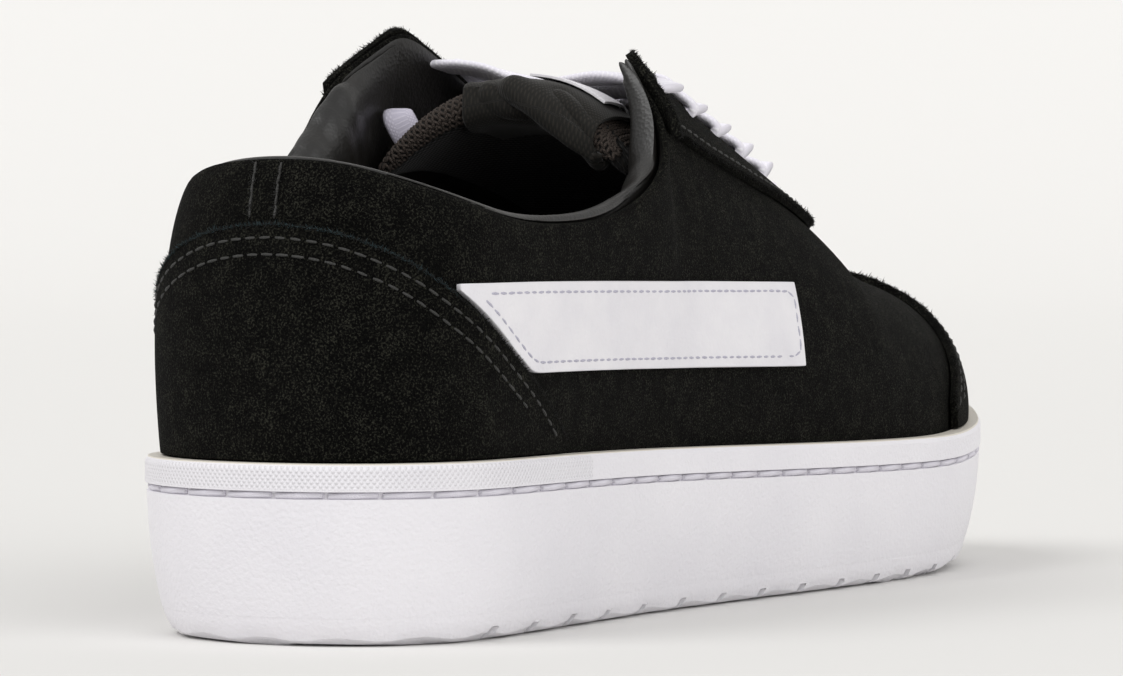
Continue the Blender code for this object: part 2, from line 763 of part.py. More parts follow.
def make_tongue_label():
    """The woven strip folded over the tongue's top edge."""
    last = len(TONGUE) - 1
    keep = 2
    rows = []
    for across in (-0.76, -0.62, -0.46, -0.30, -0.14, 0.02, 0.18, 0.33):
        line = tongue_line(across)
        rows.append(line[last - keep: last + 5 + keep])
    moved = []
    for i, row in enumerate(rows):
        line = []
        for j, point in enumerate(row):
            before, after = row[max(j - 1, 0)], row[min(j + 1, len(row) - 1)]
            left, right = rows[max(i - 1, 0)][j], rows[min(i + 1, len(rows) - 1)][j]
            normal = (after - before).cross(right - left).normalized()
            line.append(point + normal * GAP * 1.5)
        moved.append(line)
    centre = sum((point for row in rows for point in row), Vector()) / (len(rows) * len(rows[0]))
    before = sum((p - centre).length for row in rows for p in row)
    after = sum((p - centre).length for row in moved for p in row)
    if after < before:
        moved = [[2 * a - b for a, b in zip(row, line)] for row, line in zip(rows, moved)]
    mesh_data = grid_mesh("tongue_label", moved)
    bm = bmesh.new()
    bm.from_mesh(mesh_data)
    middle = centred(centre)
    score = sum(f.normal.dot(f.calc_center_median() - middle) * f.calc_area() for f in bm.faces)
    if score < 0:
        bmesh.ops.reverse_faces(bm, faces=bm.faces)
    bm.to_mesh(mesh_data)
    bm.free()
    obj = make_object("tongue_label", mesh_data, "label")
    thicken(obj, LABEL_WALL, 1)
    return obj


def eyelet_point(place, inner, inset, out):
    """A point over an eyestay, inset from the throat's edge, and the surface's normal."""
    if inner:
        place = RING - place
    section = Section(place)
    top = section.wall(1.0)
    share = 1.0
    while (section.wall(share) - top).length < inset:
        share -= 0.005
    here = surface(place, share)
    normal = (surface(place, share, 0.001) - here).normalized()
    return here + normal * out, normal


def curve_point(points, share):
    """Catmull-Rom point through a short list of control points."""
    spans = len(points) - 1
    place = share * spans
    index = min(int(place), spans - 1)
    t = place - index
    a = points[index - 1] if index else 2 * points[0] - points[1]
    b, c = points[index], points[index + 1]
    d = points[index + 2] if index + 2 <= spans else 2 * points[spans] - points[spans - 1]
    return 0.5 * (
        2 * b + (c - a) * t + (2 * a - 5 * b + 4 * c - d) * t**2
        + (3 * b - a - 3 * c + d) * t**3
    )


def tongue_top(x):
    """Height of the tongue's middle line at x."""
    for low, high in zip(TONGUE[1:], TONGUE):
        if low.place * LENGTH <= x:
            share = (x / LENGTH - low.place) / (high.place - low.place)
            return HEEL_WALL + EAR_HEIGHT * (low.height + (high.height - low.height) * share)
    return HEEL_WALL + EAR_HEIGHT * TONGUE[-1].height


def lace_bar_rows(index, inner):
    """Cross-sections of one flat bar, from its eyelet over the tongue to the far edge."""
    rest = OVERLAY_WALL + 2 * GAP + LACE_THICKNESS / 2 + 0.0018
    low, high = EYELET_PLACES[index + 1], EYELET_PLACES[index]
    start, start_up = eyelet_point(low, inner, EYELET_INSET, rest)
    over, over_up = eyelet_point(low + (high - low) * 0.16, inner, 0.0, rest)
    end, end_up = eyelet_point(high + (low - high) * 0.10, not inner, 0.0, -0.0018)
    middle_up = Vector((0.37, 0.0, 0.93))
    end = end + (over - end).normalized() * 0.0032
    middle = (over + end) / 2
    middle.z = tongue_top(middle.x) + 3 * GAP + LACE_THICKNESS / 2
    points = [start, over, middle, end]
    ups = [start_up, (over_up + start_up * 0.5).normalized(), middle_up, (end_up + middle_up)]
    rows = []
    steps = 10
    for k in range(steps + 1):
        share = k / steps
        point = curve_point(points, share)
        ahead = curve_point(points, min(1.0, share + 0.02))
        way = (ahead - curve_point(points, max(0.0, share - 0.02))).normalized()
        up = curve_point(ups, share)
        side = way.cross(up).normalized() * (LACE_WIDTH / 2)
        up = side.cross(way).normalized() * (LACE_THICKNESS / 2)
        rows.append([
            point - side, point - side * 0.8 + up, point + side * 0.8 + up,
            point + side, point + side * 0.8 - up, point - side * 0.8 - up,
        ])
    return rows


def make_lace_crossings():
    """One pair of crossed lace bars between each two eyelet rows, joined where they cross."""
    for index in range(len(EYELET_PLACES) - 1):
        bars = []
        for inner in (False, True):
            rows = lace_bar_rows(index, inner)
            mesh_data = grid_mesh("lace_bar", rows, closed_columns=True, caps=True)
            point_outwards(mesh_data)
            bars.append(mesh_data)
        crossing = make_object("lace_crossing_" + str(index + 1), bars[0], "lace")
        other = bpy.data.objects.new("lace_bar_" + str(index + 1), bars[1])
        CUTTERS.objects.link(other)
        other.hide_render = True
        other.display_type = "WIRE"
        join = crossing.modifiers.new("join", "BOOLEAN")
        join.operation = "UNION"
        join.object = other


def outline_centre():
    """The middle of the sole's outline, which becomes the origin."""
    points = [Section(k / 8).sole_point(0.0, 0.0) for k in range(RING * 8)]
    xs = [point.x for point in points]
    ys = [point.y for point in points]
    return (min(xs) + max(xs)) / 2, (min(ys) + max(ys)) / 2


def make_collection(name):
    collection = bpy.data.collections.new(name)
    bpy.context.scene.collection.children.link(collection)
    return collection


clear_scene()
COLLECTION = make_collection("skate_shoe")
CUTTERS = make_collection("cutters")
CENTRE_X, CENTRE_Y = outline_centre()

make_outsole()
make_cup_sole()
make_insole()
make_upper()
make_lining()
make_counter()
make_toe_cap()
make_band("side_band_outer", False)
make_band("side_band_inner", True)
make_eyestay("eyestay_outer", False)
make_eyestay("eyestay_inner", True)
make_tongue()
make_tongue_label()
make_lace_crossings()
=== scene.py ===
# %% [markdown]
# # A black suede skate shoe
# The solids of this right shoe are already built. This lesson dresses them:
# each solid gets the cut, the padding, the stitches and the finish of the real piece.
# The shoe stands on Z = 0, its toe points to +X and its outer side to -Y.

# %% Load the solids
import math
import random

import bmesh
import bpy
from mathutils import Matrix, Vector
from mathutils.bvhtree import BVHTree


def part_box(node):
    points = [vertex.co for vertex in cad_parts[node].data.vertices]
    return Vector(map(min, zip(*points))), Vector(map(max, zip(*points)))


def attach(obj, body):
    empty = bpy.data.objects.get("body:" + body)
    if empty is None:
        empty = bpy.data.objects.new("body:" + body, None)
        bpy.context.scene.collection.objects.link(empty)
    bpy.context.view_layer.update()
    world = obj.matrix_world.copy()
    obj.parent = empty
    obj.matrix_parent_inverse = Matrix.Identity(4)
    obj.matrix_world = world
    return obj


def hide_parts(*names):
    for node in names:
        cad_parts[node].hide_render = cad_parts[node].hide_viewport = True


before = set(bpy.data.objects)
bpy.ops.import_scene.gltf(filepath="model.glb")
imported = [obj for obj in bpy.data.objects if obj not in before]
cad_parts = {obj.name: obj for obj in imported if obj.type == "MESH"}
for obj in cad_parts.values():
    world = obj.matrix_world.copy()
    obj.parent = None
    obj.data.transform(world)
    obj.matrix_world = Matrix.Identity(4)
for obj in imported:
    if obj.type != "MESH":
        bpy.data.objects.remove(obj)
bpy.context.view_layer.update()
bpy.ops.object.select_all(action="DESELECT")
print("solids:", len(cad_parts))

# %% [markdown]
# ## Sizes that the pieces share
# The seams follow the same sizes as the solids: the heel's round, the toe's round and
# the height of the sole's rim. Stitches need them to know where the groove runs.

# %% Shared sizes
LENGTH = 0.296
CENTRE_X = LENGTH / 2
HEEL_X = 0.123 * LENGTH - CENTRE_X
TOE_X = 0.834 * LENGTH - CENTRE_X
HEEL_RADIUS = 0.0365
HEEL_WALL = 0.0336
TOE_WALL = 0.0300
TOE_SPRING = 0.009
SPRING_START = 0.72
BAND_HEIGHT = 0.0050
STITCH_GROOVE = 0.0015


def soft_step(low, high, value):
    """0 below low, 1 above high, with a soft change between."""
    share = min(1.0, max(0.0, (value - low) / (high - low)))
    return share * share * (3 - 2 * share)


def rim_height(x):
    """Height of the sole's rim at x."""
    share = (x + CENTRE_X) / LENGTH
    lift = TOE_SPRING * (max(0.0, share - SPRING_START) / (1 - SPRING_START)) ** 2
    return lift + HEEL_WALL + (TOE_WALL - HEEL_WALL) * soft_step(0.10, 0.78, share)


print("rim at the heel and the toe:", rim_height(-CENTRE_X), rim_height(CENTRE_X))

# %% [markdown]
# ## Camera
# The photo was taken from behind the heel, a little above the sole's edge and far away,
# with a long lens. The camera stands at the same place and only pans to the right, so
# that the whole of this one shoe is in the frame.

# %% Camera
bpy.context.scene.view_settings.view_transform = "Standard"
CAMERA_PLACE = Vector((-1.081, -0.504, 0.0906))
VIEW_YAW = math.radians(25.3)
VIEW_PITCH = math.radians(-1.85)
LENS_MM = 186.9

camera_data = bpy.data.cameras.new("camera")
camera = bpy.data.objects.new("camera", camera_data)
bpy.context.scene.collection.objects.link(camera)
camera_data.sensor_width = 36
camera_data.lens = LENS_MM
camera_data.clip_end = 20
camera.location = CAMERA_PLACE
look = Vector((
    math.cos(VIEW_YAW) * math.cos(VIEW_PITCH),
    math.sin(VIEW_YAW) * math.cos(VIEW_PITCH),
    math.sin(VIEW_PITCH),
))
camera.rotation_euler = look.to_track_quat("-Z", "Y").to_euler()
bpy.context.scene.camera = camera
print("camera is", round((CAMERA_PLACE - Vector((0, 0, 0.05))).length, 3), "m away")

# %% [markdown]
# ## Copies of the solids
# A copy of a solid is loose triangles at first. It is merged and turned into quads, so
# that bevels and subdivision work on it as on a hand-made mesh. The solid itself stays
# as it is and is only hidden behind its copy.


# %% Copies of the solids
def pick(piece):
    """Selects one piece alone and makes it the active one."""
    bpy.ops.object.select_all(action="DESELECT")
    piece.select_set(True)
    bpy.context.view_layer.objects.active = piece


def new_piece(name, mesh):
    """Puts a mesh into the scene as a piece of the shoe."""
    piece = bpy.data.objects.new(name, mesh)
    bpy.context.scene.collection.objects.link(piece)
    return piece


def copy_node(node, name):
    """A merged copy of a solid, in quads, ready to be refined."""
    piece = new_piece(name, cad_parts[node].data.copy())
    piece.data.materials.clear()
    pick(piece)
    bpy.ops.mesh.customdata_custom_splitnormals_clear()
    bpy.ops.object.mode_set(mode="EDIT")
    bpy.ops.mesh.select_all(action="SELECT")
    bpy.ops.mesh.remove_doubles(threshold=0.00003)
    bpy.ops.mesh.tris_convert_to_quads(
        face_threshold=math.radians(40), shape_threshold=math.radians(80)
    )
    bpy.ops.mesh.faces_shade_smooth()
    bpy.ops.object.mode_set(mode="OBJECT")
    return piece


# %% [markdown]
# ## Rounded edges
# Nothing on a shoe has a sharp corner: leather is skived and rubber is moulded. A narrow
# bevel keeps each edge in place, and subdivision then rounds the faces between edges.


# %% Rounded edges
def apply_all(piece):
    """Applies the piece's modifiers in order."""
    pick(piece)
    for modifier in list(piece.modifiers):
        bpy.ops.object.modifier_apply(modifier=modifier.name)


def soften(piece, bevel, levels, angle=50):
    """Rounds the sharp edges and smooths the faces between them."""
    if bevel:
        edges = piece.modifiers.new("rounded edges", "BEVEL")
        edges.width = bevel
        edges.segments = 2
        edges.limit_method = "ANGLE"
        edges.angle_limit = math.radians(angle)
    surface = piece.modifiers.new("smooth surface", "SUBSURF")
    surface.levels = levels
    surface.render_levels = levels
    apply_all(piece)


# %% [markdown]
# ## Finding places on the shoe
# Many pieces are laid on others, such as thread on leather. A search tree answers where
# the nearest place on a surface is, and which way the surface faces there. Places that
# were chosen are written in millimetres from the back of the heel.


# %% Places and declarations
def surface_tree(piece):
    """A search tree over a finished piece's surface."""
    bm = bmesh.new()
    bm.from_mesh(piece.data)
    tree = BVHTree.FromBMesh(bm)
    bm.free()
    return tree


def at(x, y, z):
    """A point in millimetres from the back of the heel, the middle and the ground."""
    return Vector((x / 1000 - CENTRE_X, y / 1000, z / 1000))


def declare(piece, material, slot, *nodes):
    """Gives a piece its finish, hangs it on the root and hides the solids that it stands for."""
    if not piece.data.materials:
        piece.data.materials.append(material)
    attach(piece, "root")
    if nodes:
        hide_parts(*nodes)
    print(piece.name, "faces:", len(piece.data.polygons))


# %% [markdown]
# ## Colours and nodes
# Colours are written as the hex values that a paint program shows and turned into the
# linear values that the renderer wants. One function adds every node. Patterns are
# written in real millimetres: a noise or cell texture repeats once a metre at scale 1,
# and the bands of a wave texture are then 314 millimetres apart.


# %% Colours and nodes
def linear(hex_colour):
    """An sRGB hex colour as linear red, green, blue and alpha."""
    channels = []
    for k in (1, 3, 5):
        value = int(hex_colour[k:k + 2], 16) / 255
        channels.append(value / 12.92 if value < 0.04045 else ((value + 0.055) / 1.055) ** 2.4)
    return (*channels, 1.0)


def add(tree, kind, inputs=None, stops=None, **settings):
    """Adds a node with its settings, its input values or links, and a ramp's stops."""
    node = tree.nodes.new("ShaderNode" + kind)
    for name, value in settings.items():
        setattr(node, name, value)
    for name, value in (inputs or {}).items():
        if isinstance(value, bpy.types.NodeSocket):
            tree.links.new(value, node.inputs[name])
        else:
            node.inputs[name].default_value = value
    for index, (place, colour) in enumerate(stops or ()):
        ramp = node.color_ramp.elements
        stop = ramp[index] if index < 2 else ramp.new(place)
        stop.position = place
        stop.color = colour
    return node


def new_finish(name, **values):
    """A material with one Principled shader, and the values of its sockets."""
    material = bpy.data.materials.new(name)
    material.use_nodes = True
    shader = material.node_tree.nodes["Principled BSDF"]
    for socket, value in values.items():
        shader.inputs[socket.replace("_", " ")].default_value = value
    return material, material.node_tree, shader


def grains(size_mm):
    """The scale of a noise or cell texture whose grains are that large."""
    return 1000.0 / size_mm


def bands(pitch_mm):
    """The scale of a wave texture whose bands are that far apart."""
    return 314.0 / pitch_mm


# %% [markdown]
# ## Suede
# Suede is the split side of a hide, buffed until it has a nap. Its fibres hide any
# gloss, scatter light at grazing angles and lie in patches. A photo of suede would
# repeat, so the nap is made of noise: the colour wanders between two blacks over a few
# millimetres, light specks painted into the colour stand for the glint of single fibre
# tips, and the bump has both sizes.


# %% Suede
NAP_MM = 0.4
PATCH_MM = 4.55


def make_suede(name, dark, middle, fibre, glint_share):
    """Buffed suede: two blacks in patches, and a painted glint of fibre tips over a high share.
    """
    finish, tree, shader = new_finish(
        name, Roughness=0.95, Sheen_Weight=0.035, Sheen_Roughness=0.4,
        Sheen_Tint=linear("#8d8a84"), Specular_IOR_Level=0.06,
    )
    place = add(tree, "TexCoord").outputs["Object"]
    patches = add(tree, "TexNoise", {"Vector": place, "Scale": grains(PATCH_MM), "Detail": 3.0})
    nap = add(tree, "TexNoise", {
        "Vector": place, "Scale": grains(NAP_MM), "Detail": 3.0, "Roughness": 0.7,
    })
    shade = add(tree, "Math", {0: patches.outputs["Fac"], 1: 0.2}, operation="MULTIPLY")
    mixed = add(tree, "Math", {0: nap.outputs["Fac"], 1: shade.outputs[0]})
    # The top stop is a painted glint: a lighter colour where fibre tips would catch the light.
    colour = add(tree, "ValToRGB", {"Fac": mixed.outputs[0]}, stops=(
        (0.46, linear(dark)), (0.62, linear(middle)), (glint_share, linear(fibre)),
    ))
    tree.links.new(colour.outputs["Color"], shader.inputs["Base Color"])
    height = add(tree, "Math", {0: nap.outputs["Fac"], 1: patches.outputs["Fac"]})
    bump = add(tree, "Bump", {
        "Height": height.outputs[0], "Strength": 1.0, "Distance": 0.0008,
    })
    tree.links.new(bump.outputs["Normal"], shader.inputs["Normal"])
    return finish


# The third colour and its share are the painted glint of the fibre tips.
suede = make_suede("buffed_suede", "#020202", "#090908", "#36362f", 0.785)
print("made", suede.name)

# %% [markdown]
# ## Leather
# The lining and the side bands are smooth leather with a thin coat of lacquer. The eye
# sees a fine pebble grain, because cells of the hide shrink at different rates. A cell
# texture gives that grain, and a slow noise keeps the colour from looking printed.


# %% Leather
TONE_MM = 11.1


def make_leather(name, dark, light, roughness, gloss, grain_mm, relief):
    """Coated leather: a pebble grain of that size and relief over a calm colour."""
    finish, tree, shader = new_finish(name, Roughness=roughness, Specular_IOR_Level=gloss)
    place = add(tree, "TexCoord").outputs["Object"]
    grain = add(tree, "TexVoronoi", {"Vector": place, "Scale": grains(grain_mm)}, feature="F1")
    tone = add(tree, "TexNoise", {"Vector": place, "Scale": grains(TONE_MM), "Detail": 4.0})
    colour = add(tree, "ValToRGB", {"Fac": tone.outputs["Fac"]}, stops=(
        (0.3, linear(dark)), (0.7, linear(light)),
    ))
    tree.links.new(colour.outputs["Color"], shader.inputs["Base Color"])
    bump = add(tree, "Bump", {
        "Height": grain.outputs["Distance"], "Strength": 0.5, "Distance": relief,
    })
    tree.links.new(bump.outputs["Normal"], shader.inputs["Normal"])
    return finish


lining_leather = make_leather(
    "lacquered_lining_leather", "#0c0b0a", "#181613", 0.4, 0.6, 0.7, 0.00010
)
band_leather = make_leather("coated_white_leather", "#dfdde2", "#e9e7ea", 0.5, 0.5, 0.8, 0.00014)
print("made", lining_leather.name, "and", band_leather.name)

# %% [markdown]
# ## Rubber
# The sole is moulded in a steel mould that was blasted with grit, so the rubber comes
# out matt and pebbled. Round the heel the rim's band carries a knurl of small diamonds,
# where two sets of fine grooves cross. The tread's zigzag grooves reach the edge of its
# plate and show there as thin lines. Both patterns follow the sole's own map, which
# holds the distance round the sole and a height, in metres.


# %% Rubber
PEBBLE_MM = 0.87
CLOUD_MM = 33.3


def start_rubber(name, dark, light):
    """Matt moulded rubber, its map split in two, and the height of its pebbles."""
    finish, tree, shader = new_finish(name, Roughness=0.52, Specular_IOR_Level=0.4)
    texture = add(tree, "TexCoord")
    place = texture.outputs["Object"]
    pebble = add(tree, "TexNoise", {"Vector": place, "Scale": grains(PEBBLE_MM), "Detail": 3.0})
    tone = add(tree, "TexNoise", {"Vector": place, "Scale": grains(CLOUD_MM), "Detail": 3.0})
    colour = add(tree, "ValToRGB", {"Fac": tone.outputs["Fac"]}, stops=(
        (0.3, linear(dark)), (0.7, linear(light)),
    ))
    tree.links.new(colour.outputs["Color"], shader.inputs["Base Color"])
    pebbles = add(tree, "Math", {0: pebble.outputs["Fac"], 1: 2.4}, operation="MULTIPLY")
    split = add(tree, "SeparateXYZ", {"Vector": texture.outputs["UV"]})
    return finish, tree, shader, colour, texture, split, pebbles


# %% The wall's rubber
KNURL_MM = 0.85
KNURL_REACH = 0.084


def make_wall_rubber(name, dark, light):
    """The wall's rubber, with the knurled band round the heel and a trace of glue."""
    finish, tree, shader, colour, texture, split, pebbles = start_rubber(name, dark, light)
    rows = []
    for turn in (40, -40):
        turned = add(tree, "Mapping", {
            "Vector": texture.outputs["UV"], "Rotation": (0, 0, math.radians(turn)),
        })
        rows.append(add(tree, "TexWave", {
            "Vector": turned.outputs["Vector"], "Scale": bands(KNURL_MM),
        }, bands_direction="X"))
    diamonds = add(tree, "Math", {0: rows[0].outputs["Fac"], 1: rows[1].outputs["Fac"]},
                   operation="MULTIPLY")
    above = add(tree, "Math", {0: split.outputs["Y"], 1: -BAND_HEIGHT + 0.0003},
                operation="GREATER_THAN")
    below = add(tree, "Math", {0: split.outputs["Y"], 1: -0.0004}, operation="LESS_THAN")
    reach = add(tree, "Math", {0: split.outputs["X"]}, operation="ABSOLUTE")
    back = add(tree, "Math", {0: reach.outputs[0], 1: KNURL_REACH}, operation="LESS_THAN")
    band = add(tree, "Math", {0: above.outputs[0], 1: below.outputs[0]}, operation="MULTIPLY")
    zone = add(tree, "Math", {0: band.outputs[0], 1: back.outputs[0]}, operation="MULTIPLY")
    raised = add(tree, "Math", {0: diamonds.outputs[0], 1: 3.6}, operation="MULTIPLY")
    height = add(tree, "Mix", {
        0: zone.outputs[0], 2: pebbles.outputs[0], 3: raised.outputs[0],
    }, data_type="FLOAT")
    top = add(tree, "Math", {0: split.outputs["Y"], 1: -0.0002}, operation="GREATER_THAN")
    glued = add(tree, "Mix", {
        0: top.outputs[0], 6: colour.outputs["Color"], 7: linear("#dcd6cb"),
    }, data_type="RGBA")
    tree.links.new(glued.outputs[2], shader.inputs["Base Color"])
    bump = add(tree, "Bump", {
        "Height": height.outputs[0], "Strength": 0.5, "Distance": 0.00018,
    })
    tree.links.new(bump.outputs["Normal"], shader.inputs["Normal"])
    return finish


wall_rubber = make_wall_rubber("moulded_wall_rubber", "#e3e1e6", "#ebe9ed")
print("made", wall_rubber.name)

# %% The tread's rubber
ZIGZAG_RUN = 0.0085
ZIGZAG_SLOPE = 0.42
LINE_WIDTH = 0.0003


def make_tread_rubber(name, dark, light):
    """The tread's rubber, with fine zigzag lines where its grooves reach the edge."""
    finish, tree, shader, _, _, split, pebbles = start_rubber(name, dark, light)
    ramp = add(tree, "Math", {0: split.outputs["X"], 1: ZIGZAG_RUN}, operation="PINGPONG")
    slope = add(tree, "Math", {0: ramp.outputs[0], 1: ZIGZAG_SLOPE}, operation="MULTIPLY")
    line = add(tree, "Math", {0: split.outputs["Y"], 1: slope.outputs[0], 2: LINE_WIDTH},
               operation="COMPARE")
    cut = add(tree, "Math", {0: line.outputs[0], 1: -1.6, 2: pebbles.outputs[0]},
              operation="MULTIPLY_ADD")
    bump = add(tree, "Bump", {"Height": cut.outputs[0], "Strength": 0.5, "Distance": 0.00018})
    tree.links.new(bump.outputs["Normal"], shader.inputs["Normal"])
    return finish


tread_rubber = make_tread_rubber("moulded_tread_rubber", "#e5e3e8", "#edebef")
print("made", tread_rubber.name)

# %% [markdown]
# ## Thread
# Sewing thread is polyester, twisted and bonded with wax, so it has a fine diagonal
# relief and a low gloss. The seams on the suede are black, and they show because their
# gloss is higher than the nap's. The bands' thread is lilac and the sole's is white.
# Loose fibres and the tongue's yarn have the same twist but no wax, so they are dull.


# %% Thread
TWIST_MM = 0.42


def make_thread(name, colour, roughness):
    """Twisted thread: one colour, and a diagonal relief from the twist."""
    finish, tree, shader = new_finish(name, Base_Color=linear(colour), Roughness=roughness)
    place = add(tree, "TexCoord").outputs["UV"]
    turned = add(tree, "Mapping", {"Vector": place, "Rotation": (0, 0, math.radians(38))})
    twist = add(tree, "TexWave", {
        "Vector": turned.outputs["Vector"], "Scale": bands(TWIST_MM),
    }, bands_direction="X")
    bump = add(tree, "Bump", {
        "Height": twist.outputs["Fac"], "Strength": 0.9, "Distance": 0.00012,
    })
    tree.links.new(bump.outputs["Normal"], shader.inputs["Normal"])
    return finish


black_thread = make_thread("bonded_black_thread", "#2e2e2c", 0.6)
band_thread = make_thread("bonded_lilac_thread", "#b9b7c6", 0.6)
white_thread = make_thread("bonded_white_thread", "#e4e1ea", 0.55)
fibre_black = make_thread("raw_suede_fibre", "#1d1c19", 0.9)
fibre_teal = make_thread("dyed_core_fibre", "#41595e", 0.9)
knit_yarn = make_thread("textured_knit_yarn", "#3a312b", 0.85)
print("made", black_thread.name, "and five more")

# %% [markdown]
# ## Cloth
# Cloth is two sets of threads that cross. Bands along the map and across it, multiplied,
# give the small bumps where one thread passes over another, and a twill turn slants
# them. The real threads are a little finer than these, which have to show in the
# picture. A weave from geometry would need millions of faces for the same look.


# %% Cloth
def make_weave(name, dark, light, warp_mm, weft_mm, relief, twill, roughness):
    """A cloth on the piece's own map: threads along it and across it, in real pitch."""
    finish, tree, shader = new_finish(
        name, Roughness=roughness, Sheen_Weight=0.1, Sheen_Roughness=0.5,
        Specular_IOR_Level=0.2,
    )
    cloth = add(tree, "TexCoord").outputs["UV"]
    turned = add(tree, "Mapping", {"Vector": cloth, "Rotation": (0, 0, math.radians(twill))})
    warp = add(tree, "TexWave", {
        "Vector": turned.outputs["Vector"], "Scale": bands(warp_mm), "Distortion": 0.6,
    }, bands_direction="X")
    weft = add(tree, "TexWave", {
        "Vector": turned.outputs["Vector"], "Scale": bands(weft_mm), "Distortion": 0.6,
    }, bands_direction="Y")
    threads = add(tree, "Math", {0: warp.outputs["Fac"], 1: weft.outputs["Fac"]},
                  operation="MULTIPLY")
    colour = add(tree, "ValToRGB", {"Fac": threads.outputs[0]}, stops=(
        (0.08, linear(dark)), (0.72, linear(light)),
    ))
    tree.links.new(colour.outputs["Color"], shader.inputs["Base Color"])
    bump = add(tree, "Bump", {
        "Height": threads.outputs[0], "Strength": 0.8, "Distance": relief,
    })
    tree.links.new(bump.outputs["Normal"], shader.inputs["Normal"])
    return finish


tongue_knit = make_weave("knit_ground", "#060505", "#15120f", 1.1, 1.1, 0.0002, 38, 0.9)
label_weave = make_weave(
    "woven_label_tape", "#151411", "#25221e", 0.56, 0.56, 0.00008, 38, 0.8
)
lace_weave = make_weave(
    "flat_tubular_weave", "#e6e3ec", "#f4f2f8", 0.75, 0.9, 0.0001, 45, 0.8
)
# The tucked end's weave is greyer as painted shade, since it lies in shadow by the tongue.
lace_end_shade_weave = make_weave(
    "lace_end_painted_shade", "#bdb9c8", "#cdc9d6", 0.6, 0.6, 0.00005, 45, 0.85
)
footbed_cloth = make_weave("footbed_cloth", "#0b0b0b", "#1b1a19", 0.9, 0.9, 0.0001, 45, 0.95)
print("finishes:", len(bpy.data.materials))

# %% [markdown]
# ## Maps for cloth and for the sole
# A weave has to follow the piece, so these pieces get a map in metres. On the sole it
# holds the distance from the back of the heel and the height over the rim.


# %% Maps
def lay_map(piece, rule):
    """Gives every corner of the mesh the map place that the rule gives its point."""
    layer = piece.data.uv_layers.new(name="real_size")
    places = [rule(vertex.co, vertex.normal) for vertex in piece.data.vertices]
    for loop in piece.data.loops:
        layer.data[loop.index].uv = places[loop.vertex_index]


def distance_round(point):
    """Distance from the back of the heel along the sole's edge, in metres."""
    quarter = HEEL_RADIUS * math.pi / 2
    if point.x < HEEL_X:
        around = math.atan2(abs(point.y), HEEL_X - point.x)
        return around * HEEL_RADIUS
    return quarter + point.x - HEEL_X


def sole_map(point, normal):
    """The distance round the sole, less than 0 on the inner side, and the height."""
    side = -1 if point.y > 0 else 1
    return side * distance_round(point), point.z - rim_height(point.x)


# %% [markdown]
# ## The cup
# The cup is one moulding: floor, side wall and rim band. Moulded edges are crisp but
# never sharp. A small bevel holds each step of the side, and subdivision rounds the
# facets in between. Modelling it again by hand would only lose the solid's true shape.

# %% The cup
cup = copy_node("cup_sole", "moulded_cup")
soften(cup, 0.00022, 2, angle=25)
lay_map(cup, sole_map)
declare(cup, wall_rubber, "wall_rubber", "cup_sole")
cup_tree = surface_tree(cup)

# %% [markdown]
# ## The tread
# The tread plate is glued under the cup, so its top is pressed up a little into it. The
# photo shows its lower edge as shallow waves, where the grooves run out. A cosine along
# the edge lifts the lowest points, which is easier to keep even than cutting each wave.

# %% The tread
GLUE_LIFT = 0.0004
WAVE_LENGTH = 0.017
WAVE_LIFT = 0.0009
WAVE_TOP = 0.004

tread = copy_node("outsole", "tread_plate")
for vertex in tread.data.vertices:
    if vertex.normal.z > 0.3:
        vertex.co.z += GLUE_LIFT
soften(tread, 0.00035, 1, angle=30)
lay_map(tread, lambda point, normal: (sole_map(point, normal)[0], point.z))
lifts = []
for vertex in tread.data.vertices:
    side = math.hypot(vertex.normal.x, vertex.normal.y)
    if side > 0.3 and vertex.co.z < WAVE_TOP:
        wave = 0.5 + 0.5 * math.cos(2 * math.pi * distance_round(vertex.co) / WAVE_LENGTH)
        lifts.append((vertex.index, WAVE_LIFT * wave * (1 - vertex.co.z / WAVE_TOP)))
for index, lift in lifts:
    tread.data.vertices[index].co.z += lift
declare(tread, tread_rubber, "tread_rubber", "outsole")

# %% [markdown]
# ## The footbed
# A sheet of foam under a dark cloth, with raised edges. The solid has its whole form, so
# it is only rounded.

# %% The footbed
footbed = copy_node("insole", "foam_footbed")
soften(footbed, 0.0, 2)
lay_map(footbed, lambda point, normal: (point.x, point.y))
declare(footbed, footbed_cloth, "insole_fabric", "insole")

# %% [markdown]
# ## Two skins
# The upper is cut suede outside and a dark lining inside. On the plain copy a sharp edge
# still runs between the two skins, so a walk over the faces that stops at sharp edges
# tells them apart, and each skin gets its own finish.


# %% Two skins
SHARP = math.radians(50)


def skins(piece):
    """Groups of faces between sharp edges, the largest first."""
    bm = bmesh.new()
    bm.from_mesh(piece.data)
    seen, groups = set(), []
    for start in bm.faces:
        if start.index in seen:
            continue
        stack, group = [start], []
        seen.add(start.index)
        while stack:
            face = stack.pop()
            group.append(face.index)
            for edge in face.edges:
                if len(edge.link_faces) != 2 or edge.calc_face_angle() > SHARP:
                    continue
                for other in edge.link_faces:
                    if other.index not in seen:
                        seen.add(other.index)
                        stack.append(other)
        groups.append(group)
    sizes = {face.index: face.calc_area() for face in bm.faces}
    bm.free()
    return sorted(groups, key=lambda group: -sum(sizes[k] for k in group))


# %% [markdown]
# ## The upper's shell
# The shell is subdivided twice, so that its bends are smooth. At the inner ear the suede
# is skived thinner under the collar's lip, or its cut top would stand over the lining.

# %% The upper's shell
SKIVED = 0.0012

